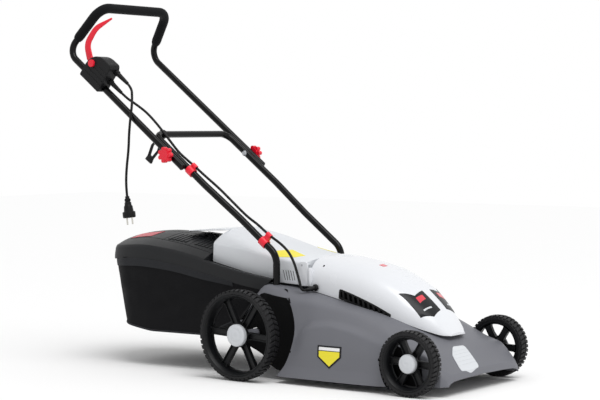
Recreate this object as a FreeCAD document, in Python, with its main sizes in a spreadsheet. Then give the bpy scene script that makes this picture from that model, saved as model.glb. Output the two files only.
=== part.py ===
"""Corded push lawn mower as a parametric FreeCAD document.

Frame: +X forward, +Y to the operator's left, +Z up, millimetres. The origin lies on the
ground at the centre of the mower's box. Each sub-part is written to parts/NODE.step.
"""
import FreeCAD, Part

import math
import os
import re

import Sketcher

Vector = FreeCAD.Vector
SIDES = {"right": -1, "left": 1}

# ---------------------------------------------------------------------------
# Driving dimensions (mm, degrees)
# ---------------------------------------------------------------------------
SIZES = {
    # wheels and axles
    "rear_wheel_radius": 120.0,
    "rear_wheel_width": 38.0,
    "rear_wheel_face": 269.5,
    "rear_axle_x": 37.0,
    "rear_cap_radius": 32.0,
    "front_wheel_radius": 82.5,
    "front_wheel_width": 36.0,
    "front_wheel_face": 237.0,
    "front_axle_x": 545.0,
    "front_cap_radius": 25.5,
    "axle_radius": 5.0,
    "running_clearance": 0.05,
    "hub_radius": 15.0,
    "tyre_depth": 13.0,
    "rim_depth": 9.0,
    "spoke_width": 15.0,
    "spoke_depth": 16.0,
    "cap_height": 12.0,
    "cap_wall": 2.0,
    "nut_radius": 8.5,
    "nut_height": 6.0,
    "end_float": 0.3,
    # deck
    "deck_wall": 3.5,
    "deck_half_width": 228.0,
    "deck_skirt_z": 20.0,
    "deck_rear_x": -20.0,
    "deck_rear_z": 150.0,
    "deck_corner_x": 68.0,
    "deck_corner_z": 250.0,
    "deck_lip_x": 632.0,
    "deck_lip_z": 34.0,
    "wheel_gap": 11.0,
    "arch_gap": 25.0,
    "mouth_half_width": 124.0,
    # motor cover
    "cover_wall": 3.0,
    "cover_rear_x": 169.5,
    "cover_half_width": 118.0,
    "cover_rear_z": 322.0,
    "cover_seam_rear_z": 235.0,
    "cover_nose_x": 560.0,
    "cover_nose_z": 132.0,
    "cover_lift": 0.3,
    "grille_thickness": 4.0,
    "slot_width": 9.0,
    # motor and blade
    "motor_x": 320.0,
    "motor_radius": 60.0,
    "motor_height": 128.0,
    "motor_seat_z": 122.0,
    "shaft_radius": 7.5,
    "stud_radius": 5.0,
    "blade_radius": 190.0,
    "blade_width": 48.0,
    "blade_thickness": 3.0,
    "blade_z": 55.0,
    "holder_height": 26.0,
    # flap
    "flap_wall": 2.5,
    "flap_pin_x": 150.0,
    "flap_pin_z": 300.0,
    "flap_pin_radius": 3.0,
    "flap_rear_x": -142.0,
    "flap_rear_half_width": 137.0,
    "flap_front_half_width": 121.0,
    "flap_ridge_z": 386.0,
    "ear_gap": 3.0,
    "ear_thickness": 4.0,
    # grass box
    "box_wall": 2.5,
    "box_half_width": 185.0,
    "box_front_half_width": 165.0,
    "box_front_x": 71.0,
    "box_rear_x": -530.0,
    "box_crown_z": 366.0,
    "box_floor_z": 98.0,
    "box_gap": 1.0,
    "rim_depth_z": 35.0,
    "frame_depth": 9.0,
    # handles
    "tube_radius": 9.5,
    "tube_wall": 1.2,
    "leg_x": 84.0,
    "leg_half_width": 150.0,
    "leg_foot_z": 200.0,
    "leg_bend_z": 326.0,
    "handle_slope": 37.4,
    "lower_half_width": 160.0,
    "tube_gap": 0.5,
    "toe_start_run": 155.0,
    "toe_end_run": 297.0,
    "crossbar_run": 521.0,
    "pivot_run": 430.0,
    "upper_tail": 54.0,
    "upper_reach": 478.0,
    "grip_x": -543.0,
    "grip_z": 1001.0,
    "grip_half_width": 144.0,
    "grip_radius": 14.0,
    "leg_bend_radius": 50.0,
    "crossbar_bend_radius": 30.0,
    "upper_bend_radius": 38.0,
    "grip_bend_radius": 45.0,
    "socket_wall": 3.0,
    # pivot fastening
    "bolt_radius": 3.0,
    "bolt_head_radius": 8.0,
    "bolt_head_height": 3.0,
    "knob_thickness": 18.0,
    "knob_core_radius": 15.0,
    "knob_lobe_radius": 6.0,
    "knob_gap": 0.3,
    # leads
    "lead_radius": 3.5,
    "clip_wall": 3.0,
    "clip_length": 22.0,
    "upper_clip_run": 357.0,
    "upper_clip_rise": 17.0,
    "lower_clip_run": 52.0,
    "lower_clip_rise": 24.0,
    "clip_inset": 3.0,
    "gland_length": 50.0,
    "gland_radius": 7.0,
    "plug_tilt": 8.0,
    "plug_flange_radius": 18.0,
    "pin_radius": 2.4,
    "plug_length": 60.0,
    "pin_length": 18.5,
    "pin_neck": 0.5,
    "pin_root_radius": 1.8,
    "pin_root_length": 12.0,
    "pin_spacing": 19.0,
    # switch box, in a frame that lies along the upper tube
    "switch_near_run": 300.0,
    "switch_far_run": 388.0,
    "switch_depth": 13.0,
    "switch_height": 78.0,
    "switch_outer_y": 203.0,
    "switch_split_y": 181.5,
    "switch_inner_y": 160.0,
    "switch_wall": 2.5,
    "bail_pivot_run": 366.0,
    "bail_pivot_rise": 41.0,
    "bail_radius": 6.5,
    "bail_hub_radius": 11.0,
    "button_radius": 10.5,
    "button_stand_out": 6.0,
    "button_travel": 5.0,
    "button_clearance": 0.3,
    "power_gland_rise": 57.0,
    "motor_gland_rise": 25.0,
    "power_gland_y": 169.0,
    "motor_gland_y": 173.0,
    # cable hook
    "hook_y": 122.0,
    "hook_width": 8.0,
    "hook_tilt": 35.0,
    "hook_length": 92.0,
}

doc = FreeCAD.newDocument("PushLawnMower")
sheet = doc.addObject("Spreadsheet::Sheet", "Sizes")
for row, (alias, number) in enumerate(SIZES.items(), start=1):
    sheet.set(f"A{row}", alias)
    sheet.set(f"B{row}", str(number))
    sheet.setAlias(f"B{row}", alias)
doc.recompute()

ALIAS = re.compile(r"\b(" + "|".join(sorted(SIZES, key=len, reverse=True)) + r")\b")
nodes = {}


# ---------------------------------------------------------------------------
# Helpers: expressions, sketches, primitives and booleans
# ---------------------------------------------------------------------------
def value(expression):
    """Number that an expression in the sheet's aliases comes to."""
    return float(sheet.evalExpression(str(expression)))


def bind(thing, prop, expression):
    """Bind a property to the sheet."""
    thing.setExpression(prop, ALIAS.sub(r"Sizes.\1", str(expression)))


def place(thing, at, axis=None, angle=None):
    """Bind a Placement: base point, and a turn about one axis."""
    if axis is not None:
        thing.Placement = FreeCAD.Placement(Vector(), FreeCAD.Rotation(Vector(*axis), value(angle)))
        bind(thing, "Placement.Rotation.Angle", angle)
    for letter, expression in zip("xyz", at):
        bind(thing, f"Placement.Base.{letter}", expression)
    return thing


def node(label, thing):
    """Register a finished object as the sub-part called label."""
    thing.Label = label
    nodes[label] = thing
    return thing


AXIS_TURN = {"X": ((0, 1, 0), 90), "Y": ((1, 0, 0), -90), "Z": (None, None)}


def cylinder(name, radius, length, at, axis="Z"):
    """Cylinder from the point at, along +axis."""
    thing = doc.addObject("Part::Cylinder", name)
    bind(thing, "Radius", radius)
    bind(thing, "Height", length)
    turn, angle = AXIS_TURN[axis]
    return place(thing, at, turn, angle)


def box(name, size, at):
    """Box from its low corner."""
    thing = doc.addObject("Part::Box", name)
    for prop, expression in zip(("Length", "Width", "Height"), size):
        bind(thing, prop, expression)
    return place(thing, at)


def fuse(name, things):
    thing = doc.addObject("Part::MultiFuse", name)
    thing.Shapes = things
    thing.Refine = True
    return thing


def cut(name, base, tools):
    """base minus all tools."""
    thing = doc.addObject("Part::Cut", name)
    thing.Base = base
    thing.Tool = tools[0] if len(tools) == 1 else fuse(name + "_tools", tools)
    return thing


def common(name, first, second):
    thing = doc.addObject("Part::MultiCommon", name)
    thing.Shapes = [first, second]
    return thing


def group(name, things):
    """Separate solids that share one node."""
    thing = doc.addObject("Part::Compound", name)
    thing.Links = things
    return thing


def draw_polygon(sketch, corners):
    """Closed outline whose corners are bound to the sheet."""
    spots = [Vector(value(h), value(v), 0) for h, v in corners]
    count = len(spots)
    for index in range(count):
        sketch.addGeometry(Part.LineSegment(spots[index], spots[(index + 1) % count]), False)
    for index in range(count):
        sketch.addConstraint(Sketcher.Constraint("Coincident", index, 2, (index + 1) % count, 1))
    for index, (corner, spot) in enumerate(zip(corners, spots)):
        for kind, number, expression in (("DistanceX", spot.x, corner[0]), ("DistanceY", spot.y, corner[1])):
            item = sketch.addConstraint(Sketcher.Constraint(kind, -1, 1, index, 1, number))
            bind(sketch, f"Constraints[{item}]", expression)
    return sketch


PLANE_TURN = {
    "XY": FreeCAD.Rotation(),
    "XZ": FreeCAD.Rotation(Vector(1, 0, 0), 90),
    "YZ": FreeCAD.Rotation(Vector(1, 1, 1), 120),
}
PLANE_NORMAL = {"XY": "z", "XZ": "y", "YZ": "x"}


def polygon(name, plane, offset, corners):
    """Free sketch in a plane parallel to XY, XZ or YZ, at offset along its normal."""
    sketch = doc.addObject("Sketcher::SketchObject", name)
    sketch.Placement = FreeCAD.Placement(Vector(), PLANE_TURN[plane])
    bind(sketch, f"Placement.Base.{PLANE_NORMAL[plane]}", offset)
    return draw_polygon(sketch, corners)


def prism(name, plane, start, length, corners):
    """Polygon extruded towards the positive side of its plane's axis."""
    thing = doc.addObject("Part::Extrusion", name)
    thing.Base = polygon(name + "_outline", plane, start, corners)
    thing.DirMode = "Normal"
    thing.Solid = True
    thing.Reversed = plane == "XZ"
    bind(thing, "LengthFwd", length)
    return thing


def loft(name, sections):
    """Ruled solid through YZ outlines: each section is (x, half outline)."""
    thing = doc.addObject("Part::Loft", name)
    outlines = []
    for index, (station, half) in enumerate(sections):
        mirrored = [(f"-({y})", z) for y, z in reversed(half)]
        outlines.append(polygon(f"{name}_{index}", "YZ", station, list(half) + mirrored))
    thing.Sections = outlines
    thing.Solid = True
    thing.Ruled = True
    return thing


def new_body(name, at=None, axis=None, angle=None):
    thing = doc.addObject("PartDesign::Body", name)
    if at is not None:
        place(thing, at, axis, angle)
    return thing


def origin_plane(body, role):
    return next(item for item in body.Origin.OriginFeatures if item.Role == role)


def body_sketch(body, name, plane, lift="0"):
    """Sketch on a body's own origin plane, lifted along that plane's normal."""
    sketch = body.newObject("Sketcher::SketchObject", name)
    sketch.AttachmentSupport = [(origin_plane(body, plane + "_Plane"), "")]
    sketch.MapMode = "FlatFace"
    bind(sketch, "AttachmentOffset.Base.z", lift)
    return sketch


def draw_circle(sketch, radius, centre=("0", "0")):
    spot = Vector(value(centre[0]), value(centre[1]), 0)
    index = sketch.addGeometry(Part.Circle(spot, Vector(0, 0, 1), value(radius)), False)
    item = sketch.addConstraint(Sketcher.Constraint("Radius", index, value(radius)))
    bind(sketch, f"Constraints[{item}]", radius)
    for kind, number, expression in (("DistanceX", spot.x, centre[0]), ("DistanceY", spot.y, centre[1])):
        item = sketch.addConstraint(Sketcher.Constraint(kind, -1, 1, index, 3, number))
        bind(sketch, f"Constraints[{item}]", expression)
    return sketch


def revolve(body, name, corners):
    """Revolution of a (radius, height) outline about the body's own Z axis."""
    sketch = draw_polygon(body_sketch(body, name + "_outline", "XZ"), corners)
    feature = body.newObject("PartDesign::Revolution", name)
    feature.Profile = sketch
    feature.ReferenceAxis = (sketch, ["V_Axis"])
    feature.Angle = 360
    return feature


def pad(body, name, sketch, length, reverse=False):
    feature = body.newObject("PartDesign::Pad", name)
    feature.Profile = sketch
    feature.Reversed = reverse
    bind(feature, "Length", length)
    return feature


def pocket(body, name, sketch, length, reverse=False):
    feature = body.newObject("PartDesign::Pocket", name)
    feature.Profile = sketch
    feature.Reversed = reverse
    bind(feature, "Length", length)
    return feature


def polar(body, name, feature, count):
    """Copies of a feature round its sketch's normal."""
    pattern = body.newObject("PartDesign::PolarPattern", name)
    pattern.Originals = [feature]
    pattern.Axis = (feature.Profile[0], ["N_Axis"])
    pattern.Angle = 360
    pattern.Occurrences = count
    body.Tip = pattern
    return pattern


# ---------------------------------------------------------------------------
# Helpers: bent paths and tubes
# ---------------------------------------------------------------------------
def bent_path(points, radii):
    """Straight runs joined by tangent arcs, with one radius for each inner point."""
    edges = []
    start = points[0]
    for before, corner, after, radius in zip(points, points[1:], points[2:], radii):
        incoming = (corner - before).normalize()
        outgoing = (after - corner).normalize()
        half_turn = incoming.getAngle(outgoing) / 2
        reach = radius * math.tan(half_turn)
        first = corner - incoming * reach
        last = corner + outgoing * reach
        inward = (outgoing - incoming).normalize()
        middle = corner + inward * (radius / math.cos(half_turn) - radius)
        edges.append(Part.LineSegment(start, first).toShape())
        edges.append(Part.Arc(first, middle, last).toShape())
        start = last
    edges.append(Part.LineSegment(start, points[-1]).toShape())
    return Part.Wire(edges)


def cord_radii(points):
    """Each arc as large as its two runs allow."""
    radii = []
    for before, corner, after in zip(points, points[1:], points[2:]):
        half_turn = (corner - before).getAngle(after - corner) / 2
        shorter = min((corner - before).Length, (after - corner).Length)
        radii.append(0.45 * shorter / math.tan(half_turn))
    return radii


def sweep_round(path, radius):
    """Solid of a round section along a path."""
    start = path.Edges[0].Vertexes[0].Point
    heading = path.Edges[0].tangentAt(path.Edges[0].FirstParameter)
    section = Part.Wire([Part.Circle(start, heading, radius).toShape()])
    return path.makePipeShell([section], True, True)


def hollow_tube(path, radius, wall):
    return sweep_round(path, radius).cut(sweep_round(path, radius - wall))


def feature_from(label, shape, placement=None):
    """Sub-part whose shape comes straight from Part."""
    thing = doc.addObject("Part::Feature", label)
    thing.Shape = shape
    thing.Placement = placement or FreeCAD.Placement()
    return node(label, thing)


def cord(label, points):
    """Plain tube along a cord's route; prints its length and its arcs."""
    radii = cord_radii(points)
    path = bent_path(points, radii)
    shape = sweep_round(path, value("lead_radius"))
    expected = math.pi * value("lead_radius") ** 2 * path.Length
    print(label, "length", round(path.Length, 1), "volume ratio", round(shape.Volume / expected, 5))
    print(label, "radii", [round(radius) for radius in radii])
    return feature_from(label, shape)


# ---------------------------------------------------------------------------
# Wheels: rim with spokes, tyre and hub cap, four times; axles and nuts
# ---------------------------------------------------------------------------
def wheel(end, side_name):
    """One wheel. Its own Z axis points outward along the axle."""
    side = SIDES[side_name]
    radius = f"{end}_wheel_radius"
    width = f"{end}_wheel_width"
    cap = f"{end}_cap_radius"
    rim = f"({radius} - tyre_depth)"
    seat = f"({width} - cap_height - 2)"
    at = (f"{end}_axle_x", f"{side} * ({end}_wheel_face - {width})", radius)
    turn = -90 * side
    name = f"{end}_{side_name}"

    wheel_body = new_body(f"wheel_{name}", at, (1, 0, 0), turn)
    revolve(wheel_body, f"hub_{name}", [
        ("axle_radius + running_clearance", "-1"),
        ("hub_radius", "-1"),
        ("hub_radius", f"{seat} - 4"),
        (cap, f"{seat} - 4"),
        (cap, seat),
        ("axle_radius + running_clearance", seat),
    ])
    revolve(wheel_body, f"rim_{name}", [
        (f"{rim} - rim_depth + 3", "2"),
        (rim, "2"),
        (rim, f"{width} - 2"),
        (f"{rim} - 4", f"{width} - 2"),
        (f"{rim} - rim_depth", f"{width} - 12"),
        (f"{rim} - rim_depth", "6"),
    ])
    spoke_sketch = draw_polygon(body_sketch(wheel_body, f"spoke_outline_{name}", "XY", "5"), [
        ("hub_radius - 3", "-spoke_width / 2"),
        (f"{rim} - rim_depth + 2", "-spoke_width / 2"),
        (f"{rim} - rim_depth + 2", "spoke_width / 2"),
        ("hub_radius - 3", "spoke_width / 2"),
    ])
    spoke = pad(wheel_body, f"spoke_{name}", spoke_sketch, "spoke_depth")
    polar(wheel_body, f"spokes_{name}", spoke, 6)
    node(f"wheel_{name}", wheel_body)

    tyre_body = new_body(f"tyre_{name}", at, (1, 0, 0), turn)
    revolve(tyre_body, f"tread_{name}", [
        (rim, "0"),
        (f"{radius} - 4", "0"),
        (radius, "5"),
        (radius, f"{width} - 5"),
        (f"{radius} - 4", width),
        (rim, width),
    ])
    node(f"tyre_{name}", tyre_body)

    cap_body = new_body(f"hub_cap_{name}", at, (1, 0, 0), turn)
    revolve(cap_body, f"dome_{name}", [
        (f"{cap} - cap_wall", seat),
        (cap, seat),
        (cap, f"{seat} + cap_height - 3"),
        (f"{cap} - 4", f"{seat} + cap_height + 1"),
        ("0", f"{seat} + cap_height + 3"),
        ("0", f"{seat} + cap_height + 3 - cap_wall"),
        (f"{cap} - 5", f"{seat} + cap_height + 1 - cap_wall"),
        (f"{cap} - cap_wall", f"{seat} + cap_height - 4"),
    ])
    node(f"hub_cap_{name}", cap_body)


def axle(end):
    """Steel rod through both wheels of one end, and the nuts that keep them on."""
    seat = f"({end}_wheel_face - cap_height - 2)"
    reach = f"({seat} + end_float + nut_height + 1)"
    rod = cylinder(f"axle_{end}", "axle_radius", f"2 * {reach}",
                   (f"{end}_axle_x", f"-{reach}", f"{end}_wheel_radius"), "Y")
    node(f"axle_{end}", rod)
    nuts = []
    for side_name, side in SIDES.items():
        start = f"{side} * ({seat} + end_float) - {0 if side > 0 else 1} * nut_height"
        at = (f"{end}_axle_x", start, f"{end}_wheel_radius")
        blank = cylinder(f"nut_blank_{end}_{side_name}", "nut_radius", "nut_height", at, "Y")
        bore = cylinder(f"nut_bore_{end}_{side_name}", "axle_radius", "nut_height", at, "Y")
        nuts.append(cut(f"nut_{end}_{side_name}", blank, [bore]))
    node(f"axle_nuts_{end}", group(f"nuts_{end}", nuts))


# ---------------------------------------------------------------------------
# Deck
# ---------------------------------------------------------------------------
REAR_CLEAR = "(rear_wheel_face - rear_wheel_width - wheel_gap - 6)"
FRONT_CLEAR = "(front_wheel_face - front_wheel_width - wheel_gap)"


def along(fraction):
    """Station between the rear axle and the front axle."""
    return f"(rear_axle_x + {fraction} * (front_axle_x - rear_axle_x))"


def seam_drop(fraction):
    """Height of the seam between deck and cover, falling towards the nose."""
    return f"(cover_seam_rear_z - {fraction} * (cover_seam_rear_z - cover_nose_z))"


def deck_sections(wall, depth):
    """Half outlines from the cover's seam to the skirt; wall insets them, depth deepens them."""
    seam = "cover_half_width"
    skirt = f"(deck_skirt_z - {depth})"
    lip = f"(deck_lip_z - {depth})"
    return [
        (f"deck_rear_x + 1.1 * {wall}", [
            (f"{seam} - 8", f"deck_rear_z - {wall}"),
            (f"160 - {wall}", f"deck_rear_z - 2 - {wall}"),
            (f"186 - {wall}", f"deck_rear_z - 20 - {wall}"),
            (f"200 - {wall}", f"95 - {depth}")]),
        (f"deck_corner_x", [
            (seam, f"deck_corner_z - 6 - {wall}"),
            (f"leg_half_width + 18 - {wall}", f"deck_corner_z - {wall}"),
            (f"leg_half_width + 30 - {wall}", f"214 - {wall}"),
            (f"{REAR_CLEAR} - 2 - {wall}", f"60 - {depth}")]),
        (f"leg_x + 21", [
            (seam, f"deck_corner_z - 7 - {wall}"),
            (f"leg_half_width + 18 - {wall}", f"deck_corner_z - 10 - {wall}"),
            (f"leg_half_width + 32 - {wall}", f"214 - {wall}"),
            (f"{REAR_CLEAR} - {wall}", f"deck_skirt_z + 10 - {depth}")]),
        (along(0.252), [
            (seam, f"cover_seam_rear_z - {wall}"),
            (f"leg_half_width - {wall}", f"cover_seam_rear_z - 3 - {wall}"),
            (f"leg_half_width + 34 - {wall}", f"214 - {wall}"),
            (f"deck_half_width - {wall}", skirt)]),
        (along(0.37), [
            (seam, f"{seam_drop(0.11)} - {wall}"),
            (f"leg_half_width - 4 - {wall}", f"{seam_drop(0.13)} - {wall}"),
            (f"leg_half_width + 30 - {wall}", f"210 - {wall}"),
            (f"deck_half_width - {wall}", skirt)]),
        (along(0.577), [
            (seam, f"{seam_drop(0.34)} - {wall}"),
            (f"leg_half_width - 8 - {wall}", f"{seam_drop(0.36)} - {wall}"),
            (f"leg_half_width + 22 - {wall}", f"186 - {wall}"),
            (f"deck_half_width - 2 - {wall}", skirt)]),
        (along(0.774), [
            (f"{seam} - 6", f"{seam_drop(0.59)} - {wall}"),
            (f"leg_half_width - 14 - {wall}", f"{seam_drop(0.63)} - {wall}"),
            (f"leg_half_width + 22 - {wall}", f"150 - {wall}"),
            (f"deck_half_width - 6 - {wall}", skirt)]),
        (f"front_axle_x - 75", [
            (f"{seam} - 21", f"{seam_drop(0.75)} - {wall}"),
            (f"{FRONT_CLEAR} - 48 - {wall}", f"{seam_drop(0.82)} - {wall}"),
            (f"{FRONT_CLEAR} - 12 - {wall}", f"128 - {wall}"),
            (f"{FRONT_CLEAR} + 2 - {wall}", skirt)]),
        (f"front_axle_x - 15", [
            (f"{seam} - 60", f"cover_nose_z - 4 - {wall}"),
            (f"{FRONT_CLEAR} - 68 - {wall}", f"cover_nose_z - 10 - {wall}"),
            (f"{FRONT_CLEAR} - 4 - {wall}", f"106 - {wall}"),
            (f"{FRONT_CLEAR} + 1 - {wall}", skirt)]),
        (f"front_axle_x + 32", [
            (f"{seam} - 78", f"102 - {wall}"),
            (f"{FRONT_CLEAR} - 78 - {wall}", f"99 - {wall}"),
            (f"{FRONT_CLEAR} - 2 - {wall}", f"91 - {wall}"),
            (f"{FRONT_CLEAR} - 0.5 - {wall}", f"{lip} - 4")]),
        (f"deck_lip_x - 18 - {wall}", [
            (f"{seam} - 78", f"66 - {wall}"),
            (f"{FRONT_CLEAR} - 80 - {wall}", f"63 - {wall}"),
            (f"{FRONT_CLEAR} - 6 - {wall}", f"52 - {wall}"),
            (f"{FRONT_CLEAR} - 1 - {wall}", lip)]),
        (f"deck_lip_x - {wall}", [
            (f"{seam} - 78", f"deck_lip_z + 20 - {wall}"),
            (f"{FRONT_CLEAR} - 90 - {wall}", f"deck_lip_z + 18 - {wall}"),
            (f"{FRONT_CLEAR} - 32 - {wall}", f"deck_lip_z + 14 - {wall}"),
            (f"{FRONT_CLEAR} - 26 - {wall}", lip)]),
    ]


def arch(name, end, gap, inner_y):
    """Pair of wheel-arch cutters outboard of inner_y."""
    return [
        cylinder(f"{name}_{side_name}", f"{end}_wheel_radius + {gap}", "80",
                 (f"{end}_axle_x", f"{inner_y}" if side > 0 else f"-({inner_y}) - 80",
                  f"{end}_wheel_radius"), "Y")
        for side_name, side in SIDES.items()
    ]


def deck():
    """Moulded deck: an open-bottomed shell with a motor well, chute floor and leg sockets."""
    outer_blank = loft("deck_outer", deck_sections("0", "0"))
    outer = cut("deck_outer_arched", outer_blank,
                arch("rear_arch", "rear", "arch_gap", f"{REAR_CLEAR} + 1")
                + arch("front_arch", "front", "wheel_gap", f"{FRONT_CLEAR} + 3"))
    inner_blank = loft("deck_inner", deck_sections("deck_wall", "5"))
    inner = cut("deck_inner_arched", inner_blank,
                arch("rear_arch_in", "rear", "arch_gap + deck_wall", f"{REAR_CLEAR} + 1 - deck_wall")
                + arch("front_arch_in", "front", "wheel_gap + deck_wall", f"{FRONT_CLEAR} + 3 - deck_wall"))
    shell = cut("deck_shell", outer, [inner])

    well_top = seam_drop(0.32)
    well = cylinder("motor_well", "motor_radius + 5 + deck_wall", f"{well_top} - motor_seat_z + deck_wall - 2",
                    ("motor_x", "0", "motor_seat_z - deck_wall"))
    chute_plate = prism("chute_plate", "XZ", "-mouth_half_width - 55", "2 * (mouth_half_width + 55)", [
        ("leg_x + 22", "48"),
        ("leg_x + 26", "48"),
        ("rear_axle_x + 24", "rear_wheel_radius + 19"),
        ("deck_rear_x + 3", "deck_rear_z - 1"),
        ("deck_rear_x + 3", "deck_rear_z - 4.5"),
        ("rear_axle_x + 21", "rear_wheel_radius + 15"),
    ])
    chute = common("chute_floor", chute_plate, outer_blank)
    sockets = [
        cylinder(f"socket_{side_name}", "tube_radius + socket_wall", "deck_corner_z - leg_foot_z - 2",
                 ("leg_x", f"{side} * leg_half_width", "leg_foot_z - 3"))
        for side_name, side in SIDES.items()
    ]
    bosses = []
    for end, start in (("rear", f"({REAR_CLEAR} - 32)"), ("front", f"({FRONT_CLEAR} - 13)")):
        hub_face = f"({end}_wheel_face - {end}_wheel_width - 1 - end_float)"
        for side_name, side in SIDES.items():
            bosses.append(cylinder(
                f"axle_boss_{end}_{side_name}", "axle_radius + 5", f"{hub_face} - {start}",
                (f"{end}_axle_x", start if side > 0 else f"-{hub_face}", f"{end}_wheel_radius"), "Y"))
    solid = fuse("deck_solid", [shell, well, chute] + sockets + bosses)

    holes = [
        cylinder("well_hollow", "motor_radius + 5", "120", ("motor_x", "0", "motor_seat_z")),
        cylinder("shaft_hole", "shaft_radius + 2", "20", ("motor_x", "0", "motor_seat_z - 10")),
        prism("mouth_opening", "XZ", "-mouth_half_width", "2 * mouth_half_width", [
            ("deck_rear_x + 6", "deck_rear_z + 1"),
            ("deck_corner_x - 8", "deck_corner_z - 20"),
            ("deck_corner_x - 28", "deck_corner_z + 10"),
            ("deck_rear_x - 20", "deck_rear_z + 30"),
        ]),
        group("leg_bores", [
            cylinder(f"leg_bore_{side_name}", "tube_radius + running_clearance", "80",
                     ("leg_x", f"{side} * leg_half_width", "leg_foot_z"))
            for side_name, side in SIDES.items()]),
        cylinder("leg_screw_bore", "2", "340", ("leg_x", "-170", "leg_foot_z + 22"), "Y"),
        cylinder("rear_axle_bore", "axle_radius", "560", ("rear_axle_x", "-280", "rear_wheel_radius"), "Y"),
        cylinder("front_axle_bore", "axle_radius", "560", ("front_axle_x", "-280", "front_wheel_radius"), "Y"),
    ] + motor_screw_holes("deck_screw_hole", "motor_seat_z - 10", "20")
    node("deck", cut("deck_cut", solid, holes))


# ---------------------------------------------------------------------------
# Motor, blade and their fastenings
# ---------------------------------------------------------------------------
SCREW_CIRCLE = "(motor_radius - 15)"


def motor_screw_places():
    return [(f"motor_x + {sx} * {SCREW_CIRCLE} * 0.7071", f"{sy} * {SCREW_CIRCLE} * 0.7071")
            for sx in (-1, 1) for sy in (-1, 1)]


def motor_screw_holes(name, start, length):
    return [cylinder(f"{name}_{index}", "stud_radius / 2", length, (x, y, start))
            for index, (x, y) in enumerate(motor_screw_places())]


def motor():
    """Motor can that stands in the deck's well, and the screws that come up through its floor."""
    can = cylinder("motor_can", "motor_radius", "motor_height - 10", ("motor_x", "0", "motor_seat_z"))
    crown = cylinder("motor_crown", "motor_radius - 18", "10",
                     ("motor_x", "0", "motor_seat_z + motor_height - 10"))
    bore = cylinder("motor_bore", "shaft_radius + running_clearance", "80", ("motor_x", "0", "motor_seat_z"))
    holes = motor_screw_holes("motor_screw_hole", "motor_seat_z", "14")
    node("motor", cut("motor_cut", fuse("motor_blank", [can, crown]), [bore] + holes))
    screws = []
    for index, (x, y) in enumerate(motor_screw_places()):
        shank = cylinder(f"screw_shank_{index}", "stud_radius / 2", "14 + deck_wall",
                         (x, y, "motor_seat_z - deck_wall"))
        head = cylinder(f"screw_head_{index}", "stud_radius", "3", (x, y, "motor_seat_z - deck_wall - 3"))
        screws.append(fuse(f"motor_screw_{index}", [shank, head]))
    node("motor_screws", group("motor_screw_group", screws))


def blade_set():
    """Rotor shaft, fan-shaped blade holder, blade and nut."""
    top = "blade_z + blade_thickness"
    shaft = new_body("rotor_shaft", ("motor_x", "0", "0"))
    revolve(shaft, "rotor_shaft_turned", [
        ("0", "blade_z - 14"), ("stud_radius", "blade_z - 14"), ("stud_radius", top),
        ("shaft_radius", top), ("shaft_radius", "motor_seat_z + 78"), ("0", "motor_seat_z + 78")])
    node("rotor_shaft", shaft)

    holder = new_body("blade_holder", ("motor_x", "0", "0"))
    revolve(holder, "holder_turned", [
        ("shaft_radius", top), ("62", top), ("62", f"{top} + 3"), ("24", f"{top} + 6"),
        ("18", f"{top} + holder_height"), ("shaft_radius", f"{top} + holder_height")])
    vane_sketch = draw_polygon(body_sketch(holder, "vane_outline", "XY", f"{top} + 2"), [
        ("16", "-1.5"), ("60", "-1.5"), ("60", "1.5"), ("16", "1.5")])
    polar(holder, "vanes", pad(holder, "vane", vane_sketch, "holder_height - 10"), 6)
    node("blade_holder", holder)

    blade = new_body("blade", ("motor_x", "0", "0"))
    bar_sketch = draw_polygon(body_sketch(blade, "blade_outline", "XY", "blade_z"), [
        ("-blade_width / 2", "-blade_radius + 10"), ("blade_width / 2 - 10", "-blade_radius"),
        ("blade_width / 2", "-blade_radius + 10"), ("blade_width / 2", "blade_radius - 10"),
        ("-blade_width / 2 + 10", "blade_radius"), ("-blade_width / 2", "blade_radius - 10")])
    pad(blade, "blade_bar", bar_sketch, "blade_thickness")
    hole_sketch = draw_circle(body_sketch(blade, "blade_hole_outline", "XY", "blade_z"), "stud_radius")
    pocket(blade, "blade_hole", hole_sketch, "blade_thickness", reverse=True)
    node("blade", blade)

    nut = new_body("blade_nut", ("motor_x", "0", "0"))
    revolve(nut, "blade_nut_turned", [
        ("stud_radius", "blade_z - 10"), ("9", "blade_z - 10"), ("9", "blade_z - 2"),
        ("16", "blade_z - 2"), ("16", "blade_z"), ("stud_radius", "blade_z")])
    node("blade_nut", nut)


# ---------------------------------------------------------------------------
# Motor cover, its grilles, and the flap's hinge
# ---------------------------------------------------------------------------
def cover_sections(wall, depth):
    """Half outlines of the cover, ridge first, from its rear edge to its nose."""
    stations = [
        (f"cover_rear_x + {wall}", "cover_half_width", "0.00", "cover_rear_z"),
        (along(0.37), "cover_half_width", "0.11", "cover_rear_z - 4.5"),
        (along(0.577), "cover_half_width", "0.34", "cover_rear_z - 22.5"),
        (along(0.774), "cover_half_width - 6", "0.59", "cover_rear_z - 60"),
        ("front_axle_x - 75", "cover_half_width - 21", "0.75", "cover_rear_z - 87"),
        ("front_axle_x - 20", "cover_half_width - 56", "0.93", "cover_rear_z - 133"),
        (f"cover_nose_x - {wall}", "cover_half_width - 84", "1.00", "cover_nose_z + 8"),
    ]
    sections = []
    for x, half, drop, ridge in stations:
        foot = f"({seam_drop(drop)} + cover_lift)"
        rise = f"({ridge} - {foot})"
        sections.append((x, [
            (f"0.30 * ({half})", f"{ridge} - {wall}"),
            (f"0.68 * ({half} - {wall})", f"{ridge} - 0.10 * {rise} - {wall}"),
            (f"0.93 * ({half} - {wall})", f"{ridge} - 0.38 * {rise} - {wall}"),
            (f"{half} - {wall}", f"{foot} - {depth}"),
        ]))
    return sections


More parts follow.
